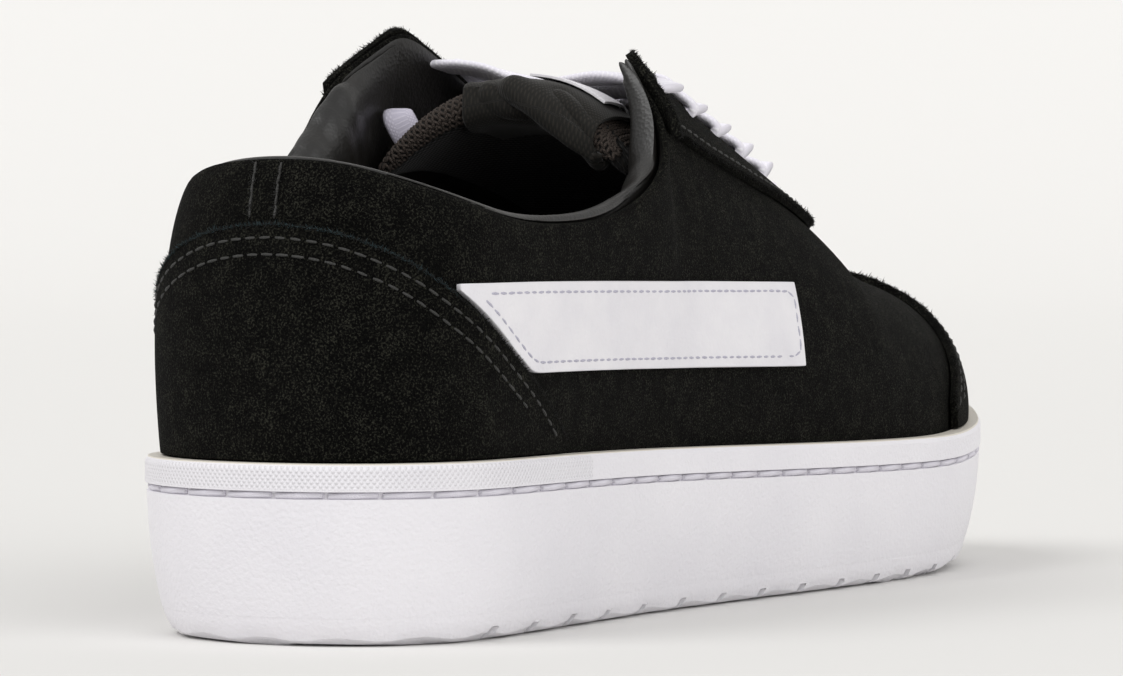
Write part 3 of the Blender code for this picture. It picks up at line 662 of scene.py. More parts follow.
shell = copy_node("upper", "suede_upper")
shell_skins = skins(shell)
shell.data.materials.append(suede)
shell.data.materials.append(lining_leather)
inside = set(shell_skins[1])
for face in shell.data.polygons:
    face.material_index = 1 if face.index in inside else 0
soften(shell, 0.0, 2)
lay_map(shell, lambda point, normal: (point.x, point.z))
lip_tree = surface_tree(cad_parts["collar_lining"])
thinned = []
for vertex in shell.data.vertices:
    place = vertex.co
    start = soft_step(at(70, 0, 0).x, at(78, 0, 0).x, place.x)
    if 0 < start and place.x < at(96, 0, 0).x and place.y > 0 and vertex.normal.z > 0.2:
        _, _, _, distance = lip_tree.find_nearest(place)
        thinned.append((vertex.index, SKIVED * start * max(0.0, 1 - distance / 0.0025)))
for index, drop in thinned:
    shell.data.vertices[index].co.z -= drop
declare(shell, suede, "suede", "upper")
shell_tree = surface_tree(shell)

# %% [markdown]
# ## Overlays
# The counter, the toe cap, the eyestays and the bands are cut flat and sewn on. Their
# inner skins are pressed into the upper, so that no gap shows at an edge. Before the
# edges are rounded, the border of each outer skin is kept as a line, because the
# stitches and the loose fibres follow it later.


# %% Overlays
EDGE_ROUND = 0.0003
PRESS_DEPTH = 0.0005


def press_in(piece, depth):
    """Moves an overlay's inner skin inwards, so that no gap shows at its edge."""
    inner = skins(piece)[1]
    moves = {}
    for index in inner:
        face = piece.data.polygons[index]
        for vertex in face.vertices:
            moves.setdefault(vertex, []).append(face.normal.copy())
    for vertex, normals in moves.items():
        way = sum(normals, Vector()).normalized()
        piece.data.vertices[vertex].co += way * depth


def edge_loop(piece):
    """The outer skin's border as points, each with its way inwards over the skin."""
    outer = set(skins(piece)[0])
    bm = bmesh.new()
    bm.from_mesh(piece.data)
    border = {}
    for edge in bm.edges:
        inner_faces = [face for face in edge.link_faces if face.index in outer]
        if len(inner_faces) == 1:
            a, b = edge.verts
            middle = (a.co + b.co) / 2
            along = (b.co - a.co).normalized()
            inward = inner_faces[0].calc_center_median() - middle
            inward -= along * inward.dot(along)
            border.setdefault(a.index, []).append((b.index, middle, inward.normalized()))
            border.setdefault(b.index, []).append((a.index, middle, inward.normalized()))
    bm.free()
    start = next(iter(border))
    loop, here, before = [], start, None
    while True:
        choices = [item for item in border[here] if item[0] != before]
        if not choices:
            break
        before, (here, middle, inward) = here, choices[0]
        loop.append((middle.copy(), inward.copy()))
        if here == start or len(loop) > 4000:
            break
    return loop


# %% Sewing the overlays on
OVERLAYS = (
    ("heel_counter", "suede_counter", suede, "suede"),
    ("toe_cap", "suede_toe_cap", suede, "suede"),
    ("eyestay_outer", "suede_eyestay_outer", suede, "suede"),
    ("eyestay_inner", "suede_eyestay_inner", suede, "suede"),
    ("side_band_outer", "leather_band_outer", band_leather, "white_leather"),
    ("side_band_inner", "leather_band_inner", band_leather, "white_leather"),
)
overlay_edges = {}
overlay_trees = {}
for node, name, finish, slot in OVERLAYS:
    overlay = copy_node(node, name)
    overlay_edges[name] = edge_loop(overlay)
    press_in(overlay, PRESS_DEPTH)
    soften(overlay, EDGE_ROUND, 2)
    declare(overlay, finish, slot, node)
    overlay_trees[name] = surface_tree(overlay)

# %% [markdown]
# ## Wrinkles and foam
# Foam under leather bulges between its seams and wrinkles where it turns a corner. A
# cloth simulation would wrinkle it at random, so each wrinkle is pressed in one by one
# along its own short line, and a smoothing pass stands for the foam's even push.


# %% Pressing a line
def distance_to_span(point, a, b):
    """How far a point is from the straight span between two others."""
    way = b - a
    share = min(1.0, max(0.0, (point - a).dot(way) / way.length_squared))
    return (point - (a + way * share)).length


def press_line(piece, points, depth, width):
    """Presses a soft groove into a piece's surface, along a line laid on it."""
    tree = surface_tree(piece)
    points = [tree.find_nearest(point)[0] for point in points]
    spans = list(zip(points, points[1:]))
    middle = sum(points, Vector()) / len(points)
    reach = max((point - middle).length for point in points) + 3 * width
    moves = []
    for vertex in piece.data.vertices:
        if (vertex.co - middle).length > reach:
            continue
        nearest = min(distance_to_span(vertex.co, a, b) for a, b in spans)
        fade = depth * math.exp(-((nearest / width) ** 2))
        moves.append((vertex.index, vertex.normal * fade))
    for index, move in moves:
        piece.data.vertices[index].co -= move


# %% Evening out and gluing
GLUED = 0.0001


def even_out(piece, rule, repeat, factor=0.5):
    """Smooths the part of a piece where the rule holds, as foam evens out leather."""
    pick(piece)
    bpy.ops.object.mode_set(mode="EDIT")
    bpy.ops.mesh.select_all(action="DESELECT")
    soft = bmesh.from_edit_mesh(piece.data)
    for vertex in soft.verts:
        vertex.select_set(rule(vertex.co))
    soft.select_flush(True)
    bmesh.update_edit_mesh(piece.data)
    bpy.ops.mesh.vertices_smooth(factor=factor, repeat=repeat)
    bpy.ops.object.mode_set(mode="OBJECT")


def lay_against(piece, tree, reach):
    """Moves the points that are nearly touching a surface until they do."""
    for vertex in piece.data.vertices:
        spot, normal, _, distance = tree.find_nearest(vertex.co, reach)
        if spot is not None:
            vertex.co = vertex.co.lerp(spot - normal * GLUED, 1 - (distance / reach) ** 2)


# %% [markdown]
# ## The padded collar
# The collar is a foam roll in thin leather. It starts even all round. Then the heel's
# lip sinks half a millimetre below the suede, and the outer ear's tip is pulled up.

# %% The collar's roll
LIP_DROP = 0.0005
EAR_RISE = 0.0086
EAR_START = at(101, 0, 0).x
EAR_END = at(112, 0, 0).x

collar = copy_node("collar_lining", "padded_collar")
even_out(collar, lambda place: True, 2, factor=0.4)
soften(collar, 0.0, 3)
even_out(collar, lambda place: place.x > at(84, 0, 0).x and place.y < 0, 16)
even_out(collar, lambda place: place.x > at(92, 0, 0).x and place.y > 0, 60)
ups = [vertex.normal.z for vertex in collar.data.vertices]
for vertex, up in zip(collar.data.vertices, ups):
    place = vertex.co
    if place.x < at(86, 0, 0).x and up > -0.3:
        _, _, _, distance = shell_tree.find_nearest(place)
        back = 1 - soft_step(at(30, 0, 0).x, at(60, 0, 0).x, place.x)
        place.z -= LIP_DROP * back * max(0.0, 1 - distance / 0.005)
    if place.y < 0 and place.z > 0.085:
        place.z += EAR_RISE * soft_step(EAR_START, EAR_END, place.x)
print("collar points:", len(ups))

# %% [markdown]
# ## The collar's wrinkles
# The lining is too long for the inside of the bend, so it gathers in slanting wrinkles
# below each ear. Each row gives a line on the leather, the wrinkle's depth and width.

# %% The collar's wrinkles
WRINKLES = (
    ((at(64, 30, 91), at(67, 29, 84), at(72, 27, 76)), 0.0005, 0.0028),
    ((at(72, 29, 95), at(75, 28, 88), at(79, 26, 79)), 0.0006, 0.0026),
    ((at(79, 28, 99), at(82, 27, 92), at(86, 25, 84)), 0.0006, 0.0026),
    ((at(86, 27, 103), at(89, 26, 97), at(93, 25, 89)), 0.0005, 0.0026),
    ((at(94, 27, 106), at(97, 26, 101), at(101, 25, 95)), 0.0005, 0.0022),
    ((at(99, -33, 92), at(101, -31, 88), at(102, -30, 83)), 0.0008, 0.0016),
    ((at(96, -34, 84), at(98, -32, 80), at(99, -31, 76)), 0.0008, 0.0016),
    ((at(105, -31, 101), at(106, -29, 97), at(106, -28, 93)), 0.0006, 0.0014),
)
for line, depth, width in WRINKLES:
    press_line(collar, line, depth, width)
lay_against(collar, shell_tree, 0.0016)
print("wrinkles:", len(WRINKLES))

# %% [markdown]
# ## The collar at the ears
# At the outer ear the photo shows the foam full and rolled outwards over the suede's
# edge. Points near the suede move out over it, the inside fills up, and smoothing joins
# both. At the inner ear the leather thins out and ends flat, glued to the shell.

# %% The collar at the ears
OVER_EDGE = Vector((-0.0014, -0.0036, 0.0008))
FULLER = Vector((-0.0006, 0.0034, 0.0))

rolls = []
for vertex in collar.data.vertices:
    place, normal = vertex.co, vertex.normal
    ear = soft_step(at(88, 0, 0).x, at(100, 0, 0).x, place.x)
    if place.y > 0 or ear == 0 or place.z < 0.070:
        continue
    spot, _, _, distance = shell_tree.find_nearest(place)
    near = max(0.0, 1 - distance / 0.0035)
    seen = max(0.0, -normal.x) + max(0.0, normal.z) * 0.6
    over = OVER_EDGE * (near * min(1.0, 1.6 * seen) * ear)
    full = FULLER * (max(0.0, normal.y) * (1 - near) * ear)
    rolls.append((vertex.index, over + full))
for index, move in rolls:
    collar.data.vertices[index].co += move
even_out(collar, lambda place: place.x > at(87, 0, 0).x and place.y < 0 and place.z > 0.066, 40)
for vertex in collar.data.vertices:
    end = soft_step(at(88, 0, 0).x, at(112, 0, 0).x, vertex.co.x)
    if vertex.co.y > 0 and end > 0:
        spot, normal, _, _ = shell_tree.find_nearest(vertex.co)
        vertex.co = vertex.co.lerp(spot - normal * GLUED, 0.9 * end)
declare(collar, lining_leather, "lining_leather", "collar_lining")

# %% [markdown]
# ## The tongue
# The tongue is a flat pad under a dark knit. The knit's threads run over its top edge,
# so its map does too: across the tongue, and along its skin from outside to inside.


# %% The tongue
TONGUE_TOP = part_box("tongue")[0].x
NOSE = 0.0045
NOSE_WRAP = 0.0058


def tongue_map(point, normal):
    """Across the tongue, and along its skin over the top edge to the inside."""
    nose = TONGUE_TOP + NOSE
    if point.x > nose:
        along = (point.x - nose) * (1 if normal.z > 0 else -1)
        return point.y, along + (NOSE_WRAP if normal.z > 0 else -NOSE_WRAP)
    return point.y, NOSE_WRAP * math.sin(math.atan2(normal.z, -normal.x))


tongue = copy_node("tongue", "padded_tongue")
soften(tongue, 0.0, 3)
lay_map(tongue, tongue_map)
declare(tongue, tongue_knit, "tongue_mesh", "tongue")
tongue_tree = surface_tree(tongue)

# %% [markdown]
# ## The woven strip
# A strip of woven tape is folded over the tongue's top and hangs down inside, where a
# foot has pushed it into slanting folds. They are pressed in like the wrinkles, and a
# depth below 0 raises a fold.

# %% The woven strip
label = copy_node("tongue_label", "folded_label")
soften(label, 0.0002, 3)
lay_map(label, tongue_map)
FOLDS = (
    ((at(104, -3, 103), at(103, -9, 98), at(105, -15, 91), at(108, -18, 86)), -0.0022, 0.0030),
    ((at(104, 2, 102), at(103, -4, 96), at(105, -9, 90), at(108, -12, 86)), 0.0016, 0.0024),
    ((at(105, 9, 102), at(104, 8, 97), at(106, 7, 92)), -0.0007, 0.0022),
    ((at(106, -13, 103), at(104, -18, 97), at(106, -21, 91)), 0.0011, 0.0022),
)
for line, depth, width in FOLDS:
    press_line(label, line, depth, width)
declare(label, label_weave, "label_weave", "tongue_label")
label_tree = surface_tree(label)

# %% [markdown]
# ## One stitch
# A stitch is a short length of thread that dips into the leather at both ends. One is
# made by hand from a sphere whose two halves are pulled apart, with few faces, because
# there will be hundreds of copies. A painted line would stay flat in a low light.


# %% One stitch
DIP = 0.6


def make_stitch(length, radius, sides, name, rings=6):
    """One stitch along X: a sphere pulled long, its ends dipped."""
    bpy.ops.mesh.primitive_uv_sphere_add(
        segments=sides, ring_count=rings, radius=radius, rotation=(0, math.pi / 2, 0)
    )
    stitch = bpy.context.object
    bpy.ops.object.transform_apply(location=True, rotation=True, scale=True)
    stitch.name = name
    for vertex in stitch.data.vertices:
        pull = length / 2 - radius
        vertex.co.x += pull * (vertex.co.x > radius * 0.2) - pull * (vertex.co.x < -radius * 0.2)
        vertex.co.z -= DIP * radius * (2 * vertex.co.x / length) ** 2
    while stitch.data.uv_layers:
        stitch.data.uv_layers.remove(stitch.data.uv_layers[0])
    lay_map(stitch, lambda point, normal: (point.x, radius * math.atan2(abs(point.y), point.z)))
    mesh = stitch.data
    bpy.data.objects.remove(stitch)
    return mesh


# %% [markdown]
# ## Copies along a line
# One mesh holds all copies of a stitch, a yarn or a fibre that belong together. A row
# follows a smooth curve through a few points, cut into even steps.


# %% Copies along a line
def scatter(name, unit, places):
    """One mesh that holds a copy of the unit, with its map, at every place."""
    corners = [vertex.co.copy() for vertex in unit.vertices]
    faces = [tuple(face.vertices) for face in unit.polygons]
    points, polygons = [], []
    for matrix in places:
        first = len(points)
        points.extend(matrix @ corner for corner in corners)
        polygons.extend(tuple(first + k for k in face) for face in faces)
    mesh = bpy.data.meshes.new(name)
    mesh.from_pydata(points, [], polygons)
    if unit.uv_layers:
        pattern = [value for corner in unit.uv_layers[0].data for value in corner.uv]
        mesh.uv_layers.new(name="real_size").data.foreach_set("uv", pattern * len(places))
    mesh.shade_smooth()
    return new_piece(name, mesh)


def curve_point(points, k, t):
    """The point at share t of span k on a smooth curve through the points."""
    last = len(points) - 1
    a, b = points[k], points[k + 1]
    before, after = points[max(k - 1, 0)], points[min(k + 2, last)]
    return 0.5 * (
        2 * a + (b - before) * t + (2 * before - 5 * a + 4 * b - after) * t**2
        + (3 * a - before - 3 * b + after) * t**3
    )


def resample(points, step):
    """Points at an even step along a smooth line through the given ones."""
    fine = [curve_point(points, k, i / 8) for k in range(len(points) - 1) for i in range(8)]
    fine.append(points[-1])
    even, travelled, target = [fine[0]], 0.0, step
    for a, b in zip(fine, fine[1:]):
        span = (b - a).length
        while span and travelled + span >= target:
            even.append(a + (b - a) * ((target - travelled) / span))
            target += step
        travelled += span
    return even


def frame_at(point, way, up, sink=0.0):
    """A matrix with X along the way and Z out of the surface."""
    up = (up - way * up.dot(way)).normalized()
    across = up.cross(way)
    matrix = Matrix((way, across, up)).transposed().to_4x4()
    matrix.translation = point - up * sink
    return matrix


# %% [markdown]
# ## Rows of stitches
# A seam's line is the overlay's own edge, moved inwards. The machine's stitches are
# never quite alike, so each one turns a little, and its length and depth differ.


# %% Rows of stitches
thread_rng = random.Random(3)


def stitch_row(points, tree, pitch, sink, wander=0.05):
    """Places for stitches along a line, set on the surface under it, none quite alike."""
    places = []
    line = resample(points, pitch)
    for a, b in zip(line, line[1:]):
        middle, up, _, _ = tree.find_nearest((a + b) / 2)
        if middle is None:
            continue
        way = (b - a).normalized()
        way = (Matrix.Rotation(thread_rng.uniform(-wander, wander), 3, up) @ way).normalized()
        longer = Matrix.Diagonal((thread_rng.uniform(0.84, 1.08), 1, 1, 1))
        deeper = sink + thread_rng.uniform(0, 0.00007)
        places.append(frame_at(middle, way, up, deeper) @ longer)
    return places


def seam_lines(name, inset, keep):
    """The lines that run a set inset inside an overlay's edge, where keep says so."""
    loop = overlay_edges[name]
    edge_points = [point for point, _ in loop]
    lines, run = [], []
    for point, inward in loop + loop[:1]:
        moved = point + inward * inset
        clear = min((moved - other).length for other in edge_points) > 0.86 * inset
        if clear and keep(point, inward):
            run.append(moved)
            continue
        if len(run) > 2:
            lines.append(run)
        run = []
    if len(run) > 2:
        lines.append(run)
    return lines


# %% [markdown]
# ## The suede's seams
# Two rows hold the counter and the toe cap, one row holds each eyestay. Each row gives
# its distance from the cut edge. A seam stops where the suede goes down into the cup.


# %% The suede's seams
STITCH_LENGTH = 0.0024
THREAD_RADIUS = 0.00029
SEAM_PITCH = 0.0031
ABOVE_RIM = 0.0022


def above_sole(point, inward):
    """Whether a point on an edge is clear of the sole's rim."""
    return point.z > rim_height(point.x) + ABOVE_RIM


suede_stitch = make_stitch(STITCH_LENGTH, THREAD_RADIUS, 6, "short_stitch")
SEAMS = (
    ("suede_counter", (0.0025, 0.0056)),
    ("suede_toe_cap", (0.0022, 0.0048)),
    ("suede_eyestay_outer", (0.0020,)),
    ("suede_eyestay_inner", (0.0020,)),
)
seam_places = []
for name, insets in SEAMS:
    for inset in insets:
        for line in seam_lines(name, inset, above_sole):
            seam_places += stitch_row(line, overlay_trees[name], SEAM_PITCH, -0.00004)
black_rows = scatter("black_seam_stitches", suede_stitch, seam_places)
declare(black_rows, black_thread, "suede")

# %% [markdown]
# ## The bands' seams
# The white bands are sewn all round with a lilac thread, in slightly shorter steps.

# %% The bands' seams
BAND_PITCH = 0.0028
BAND_INSET = 0.0020

band_places = []
for name in ("leather_band_outer", "leather_band_inner"):
    for line in seam_lines(name, BAND_INSET, lambda point, inward: True):
        band_places += stitch_row(line, overlay_trees[name], BAND_PITCH, 0.00002)
band_rows = scatter("band_stitches", suede_stitch, band_places)
declare(band_rows, band_thread, "white_leather")

# %% [markdown]
# ## The tongue's knit
# Knitted yarn shows as columns of small Vs. Each V is two short lengths of yarn that
# lean against each other, laid in rows over the tongue's top edge and down its outside.
# A relief in the material would keep the edge smooth, and the photo shows it rough.

# %% Looking at the tongue
KNIT_WIDTH = 0.0015
KNIT_HEIGHT = 0.0013
EDGE_RADIUS = 0.0036
SKY = 0.14
DOWN = Vector((0, 0, -1))


def tongue_middle(y):
    """The middle of the tongue's padded top edge, that far from the shoe's middle."""
    back = None
    for k in range(80):
        hit, _, _, _ = tongue_tree.ray_cast(
            Vector((-0.14, y, 0.110 - k * 0.0005)), Vector((1, 0, 0))
        )
        if hit and (back is None or hit.x < back.x):
            back = hit
    if back is None:
        return None
    inner = Vector((back.x + EDGE_RADIUS, y, SKY))
    above, _, _, _ = tongue_tree.ray_cast(inner, DOWN)
    if above is None:
        return None
    return Vector((inner.x, y, above.z - EDGE_RADIUS))


def knit_row(middles, turn, reach):
    """Points across the tongue: round its top edge at a turn, or further along its top."""
    row, looks = [], [(middle, 0) for middle in middles]
    if not reach:
        looks = [(middle, 0) for middle in middles[7:-7]]
        looks = [(middles[7], -lean) for lean in range(70, 0, -10)] + looks
        looks += [(middles[-8], lean) for lean in range(10, 80, 10)]
    for middle, lean in looks:
        if reach:
            origin = Vector((middle.x + reach, middle.y, SKY))
            hit, _, _, _ = tongue_tree.ray_cast(origin, DOWN)
        else:
            way = Vector((-math.cos(turn), 0, math.sin(turn))) * math.cos(math.radians(lean))
            way.y = math.sin(math.radians(lean))
            hit, _, _, _ = tongue_tree.ray_cast(middle + way * 0.03, -way)
        if hit:
            row.append(hit)
    return row


# %% Knitting
YARN_LEAN = 0.5

middles = [tongue_middle(-0.0245 + k * 0.0005) for k in range(101)]
middles = [middle for middle in middles if middle]
knit_places = []
rows = [(math.radians(turn), 0) for turn in (-40, -20, 0, 20, 40, 60, 80)]
rows += [(0, KNIT_HEIGHT * k) for k in range(1, 85)]
for turn, reach in rows:
    row = knit_row(middles, turn, reach)
    if len(row) < 8:
        continue
    line = resample(row, KNIT_WIDTH)
    for a, b in zip(line, line[1:]):
        if (b - a).length > 1.5 * KNIT_WIDTH:
            continue
        spot, up, _, _ = tongue_tree.find_nearest((a + b) / 2)
        across = (b - a).normalized()
        for side in (-1, 1):
            along = up.cross(across)
            way = along * math.cos(YARN_LEAN) + across * (side * math.sin(YARN_LEAN))
            knit_places.append(
                frame_at(spot + across * (side * KNIT_WIDTH * 0.25), way, up, -0.0001)
            )
loop_half = make_stitch(0.0018, 0.00037, 4, "knit_loop_half", rings=4)
knit = scatter("tongue_knit_loops", loop_half, knit_places)
declare(knit, knit_yarn, "tongue_mesh")

# %% [markdown]
# ## The back seam
# The upper's two halves meet at the heel in one short seam, with a row of stitches on
# each side of it. Rays from behind find the suede there.

# %% The back seam
SEAM_HALF = 0.0027
SEAM_FOOT = 0.0782
SEAM_STEP = 0.00105
BACK_PITCH = 0.0021
BACK_WANDER = 0.16

back_lines, back_places = [], []
for offset in (-SEAM_HALF, SEAM_HALF):
    line = []
    for k in range(12):
        height = SEAM_FOOT + k * SEAM_STEP
        hit, _, _, _ = shell_tree.ray_cast(
            Vector((-CENTRE_X - 0.02, offset, height)), Vector((1, 0, 0))
        )
        if hit and hit.x < HEEL_X:
            line.append(hit)
    back_lines.append(line)
    back_places += stitch_row(line, shell_tree, BACK_PITCH, -0.00004, BACK_WANDER)
back_rows = scatter("back_seam_stitches", suede_stitch, back_places)
declare(back_rows, black_thread, "suede")

# %% [markdown]
# ## The sole's stitching
# One long white stitch follows another in the groove round the whole cup, about ten
# millimetres each. Rays that look at the heel, the sides and the toe find the groove.


# %% Stitches in the groove
HEEL_LOOKS = 32
TOE_LOOKS = 40
LOOK_STEP = 0.004
LONG_LENGTH = 0.0095
LONG_RADIUS = 0.00064
LONG_PITCH = 0.0101
GROOVE_OUT = 0.0006
LONG_TILT = 0.02


def ring_points(tree, height_of, out):
    """Points off a surface all round the shoe, at the height given for each x."""
    looks = []
    quarter = math.pi / 2
    for k in range(HEEL_LOOKS + 1):
        turn = quarter + math.pi * k / HEEL_LOOKS
        looks.append((Vector((HEEL_X, 0, 0)), Vector((math.cos(turn), math.sin(turn), 0))))
    count = int((TOE_X - HEEL_X) / LOOK_STEP)
    for k in range(1, count):
        looks.append((Vector((HEEL_X + k * LOOK_STEP, 0, 0)), Vector((0, -1, 0))))
    for k in range(TOE_LOOKS + 1):
        turn = -quarter + math.pi * k / TOE_LOOKS
        looks.append((Vector((TOE_X, 0, 0)), Vector((math.cos(turn), math.sin(turn), 0))))
    for k in range(1, count):
        looks.append((Vector((TOE_X - k * LOOK_STEP, 0, 0)), Vector((0, 1, 0))))
    found = []
    for centre, way in looks:
        guess = centre + way * 0.05
        origin = centre + way * 0.12
        origin.z = height_of(guess.x)
        hit, _, _, _ = tree.ray_cast(origin, -way)
        if hit:
            hit.z = height_of(hit.x)
            found.append(hit + way * out)
    return found + found[:1]


def groove_height(x):
    """The height of the middle of the stitch groove at x."""
    return rim_height(x) - BAND_HEIGHT - STITCH_GROOVE / 2


long_stitch = make_stitch(LONG_LENGTH, LONG_RADIUS, 8, "long_stitch")
groove = resample(ring_points(cup_tree, groove_height, GROOVE_OUT), LONG_PITCH)
sole_places = []
for a, b in zip(groove, groove[1:]):
    way = (b - a).normalized()
    way = (way + Vector((0, 0, LONG_TILT))).normalized()
    sole_places.append(frame_at((a + b) / 2, way, Vector((way.y, -way.x, 0))))
sole_rows = scatter("sole_stitches", long_stitch, sole_places)
declare(sole_rows, white_thread, "wall_rubber")

# %% [markdown]
# ## Eyelets
# The laces start at the eyelets, which lie at a set distance from the throat's edge,
# measured over the suede. Rays from above walk outwards until they have gone that far.

# %% Eyelets
EYELETS_MM = (124, 138, 152, 166, 180, 193)
EYELET_INSET = 0.0080
stay_trees = {
    -1: overlay_trees["suede_eyestay_outer"],
    1: overlay_trees["suede_eyestay_inner"],
}


def throat_point(side, x, inset):
    """A point on the eyestay, that far from the throat's edge, and its normal."""
    last, travelled, y = None, 0.0, 0.0015
    while abs(y) < 0.06:
        hit, normal, _, _ = stay_trees[side].ray_cast(Vector((x, side * y, SKY)), DOWN)
        if hit and normal.z > 0.1:
            if last is not None:
                travelled += (hit - last).length
            last = hit
            if travelled >= inset:
                return hit, normal
        y += 0.00025
    return last, Vector((0.3, side * 0.5, 0.8)).normalized()


eyelets = {}
for side in (-1, 1):
    for row, x_mm in enumerate(EYELETS_MM):
        eyelets[side, row] = throat_point(side, x_mm / 1000 - CENTRE_X, EYELET_INSET)
print("eyelets:", len(eyelets))

# %% [markdown]
# ## The laces' paths
# A lace comes out of an eyelet, runs over the tongue and goes under the other side's
# edge one eyelet further up. One of each pair passes over the other.


# %% The laces' paths
LACE_WIDTH = 0.0086
LACE_THICKNESS = 0.0019


def lace_path(side, row, over):
    """The path of one bar: eyelet, throat edge, middle and the far edge's underside."""
    start, start_up = eyelets[side, row + 1]
    low_x = EYELETS_MM[row + 1] / 1000 - CENTRE_X
    high_x = EYELETS_MM[row] / 1000 - CENTRE_X
    edge, edge_up = throat_point(side, low_x + (high_x - low_x) * 0.16, 0.0004)
    far, far_up = throat_point(-side, high_x + (low_x - high_x) * 0.10, 0.0004)
    middle = (edge + far) / 2
    top, _, _, _ = tongue_tree.ray_cast(Vector((middle.x, middle.y, SKY)), DOWN)
    middle.z = top.z + LACE_THICKNESS * 0.8 + (LACE_THICKNESS * 0.9 if over else 0.0)
    inward = (edge - far).normalized()
    rise = LACE_THICKNESS / 2 + 0.0004
    points = [
        start - start_up * 0.0018,
        start + start_up * rise + (edge - start).normalized() * 0.0006,
        start * 0.45 + edge * 0.55 + (start_up + edge_up) * 0.5 * rise * 1.5,
        edge + edge_up * rise * 1.2,
        edge * 0.62 + middle * 0.38 + Vector((0, 0, 0.0010)),
        middle,
        far * 0.6 + middle * 0.4 + inward * 0.001,
        far + inward * 0.0022 - far_up * 0.0028,
        far - inward * 0.0025 - far_up * 0.0052,
    ]
    tongue_up = Vector((0.37, 0, 0.93))
    ups = [
        (start - edge).normalized(),
        (start_up * 2 + (start - edge).normalized()).normalized(),
        (start_up + edge_up).normalized(),
        edge_up,
        (edge_up + tongue_up).normalized(),
        tongue_up,
        (far_up + tongue_up).normalized(),
        far_up,
        far_up,
    ]
    return points, ups


# %% [markdown]
# ## Ribbons
# A flat lace is a woven tube pressed flat. It gathers where it leaves its hole and is
# full wide a little further on. Rings of points are set along the path and bridged: an
# extrude in edit mode would twist where the path turns, and here each ring's up
# direction is given.


# %% Along a ribbon
NARROWING = (0.6, 0.8, 0.98, 1.0, 1.0, 1.0, 1.0, 1.0, 0.95)
PATH_STEPS = 6


def ribbon_path(points, ups):
    """A fine path with its up directions and its share of the full width."""
    fine, fine_ups, fine_wide = [], [], []
    for k in range(len(points) - 1):
        for i in range(PATH_STEPS):
            t = i / PATH_STEPS
            fine.append(curve_point(points, k, t))
            fine_ups.append((ups[k] * (1 - t) + ups[k + 1] * t).normalized())
            fine_wide.append(NARROWING[k] * (1 - t) + NARROWING[k + 1] * t)
    return fine + [points[-1]], fine_ups + [ups[-1]], fine_wide + [NARROWING[-1]]


# %% Ribbons
RIBBON_SIDES = 14
FLATNESS = 0.55
ROUNDNESS = 0.8
SWELL = 0.4


def ribbon_corner(turn, gather, width, thickness):
    """How far out and up the flat section reaches at a turn; gathered, it is thicker."""
    wide = math.copysign(abs(math.cos(turn)) ** FLATNESS, math.cos(turn)) * width / 2
    high = math.copysign(abs(math.sin(turn)) ** ROUNDNESS, math.sin(turn)) * thickness / 2
    return wide * gather, high * (1 + SWELL - SWELL * gather)


def ribbon(name, points, ups, width=LACE_WIDTH, thickness=LACE_THICKNESS):
    """A flat woven tube along a path, gathered where it leaves its hole, with its map."""
    fine, fine_ups, fine_wide = ribbon_path(points, ups)
    mesh = bpy.data.meshes.new(name)
    bm = bmesh.new()
    layer = bm.loops.layers.uv.new("real_size")
    rings, travelled = [], 0.0
    for k, point in enumerate(fine):
        way = (fine[min(k + 1, len(fine) - 1)] - fine[max(k - 1, 0)]).normalized()
        if k:
            travelled += (point - fine[k - 1]).length
        across = way.cross(fine_ups[k]).normalized()
        up = across.cross(way)
        ring = []
        for j in range(RIBBON_SIDES):
            turn = 2 * math.pi * j / RIBBON_SIDES
            wide, high = ribbon_corner(turn, fine_wide[k], width, thickness)
            ring.append((bm.verts.new(point + across * wide + up * high), travelled, wide))
        rings.append(ring)
    for low, high in zip(rings, rings[1:]):
        for j in range(RIBBON_SIDES):
            n = (j + 1) % RIBBON_SIDES
            corners = (low[j], low[n], high[n], high[j])
            face = bm.faces.new([corner[0] for corner in corners])
            for loop, corner in zip(face.loops, corners):
                loop[layer].uv = (corner[1], abs(corner[2]))
    bm.faces.new([corner[0] for corner in rings[0]][::-1])
    bm.faces.new([corner[0] for corner in rings[-1]])
    bmesh.ops.recalc_face_normals(bm, faces=bm.faces)
    bm.to_mesh(mesh)
    bm.free()
    mesh.shade_smooth()
    return new_piece(name, mesh)


# %% Lacing up
for row in range(len(EYELETS_MM) - 1):
    pair = []
    for side, label_name in ((-1, "outer"), (1, "inner")):
        over = (side == 1) == (row % 2 == 0)
        points, ups = lace_path(side, row, over)
        pair.append(ribbon("lace_bar_%s_%d" % (label_name, row + 1), points, ups))
    declare(pair[0], lace_weave, "lace_cotton", "lace_crossing_%d" % (row + 1))
    declare(pair[1], lace_weave, "lace_cotton")

# %% [markdown]
# ## The tucked end
# One lace end is tucked in beside the tongue. It is the same ribbon, narrower and
# painted greyer for the shade it lies in, on a short given path.

# %% The tucked end
TUCK = (
    (at(109.5, 21.5, 93.5), Vector((1, 0.3, 0))),
    (at(108.6, 23.0, 96.4), Vector((0.7, 0.2, 0.7))),
    (at(107.4, 23.6, 97.9), Vector((0, 0, 1))),
    (at(106.0, 22.9, 96.6), Vector((-0.8, -0.3, 0.5))),
    (at(106.4, 20.8, 92.8), Vector((-1, -0.3, 0.1))),
)
END_WIDTH = 0.0064
END_THICKNESS = 0.0020

tuck_points, tuck_ups = zip(*TUCK)
tucked = ribbon("lace_end_tucked", tuck_points, tuck_ups, END_WIDTH, END_THICKNESS)
# Its finish is the greyer weave with the painted shade.
declare(tucked, lace_end_shade_weave, "lace_cotton")

# %% [markdown]
# ## The blank tag
# A small white tag of thin coated cloth is sewn on top of the tongue. A sheet of places
# is dropped on the tongue from above and gets its thickness from Solidify.

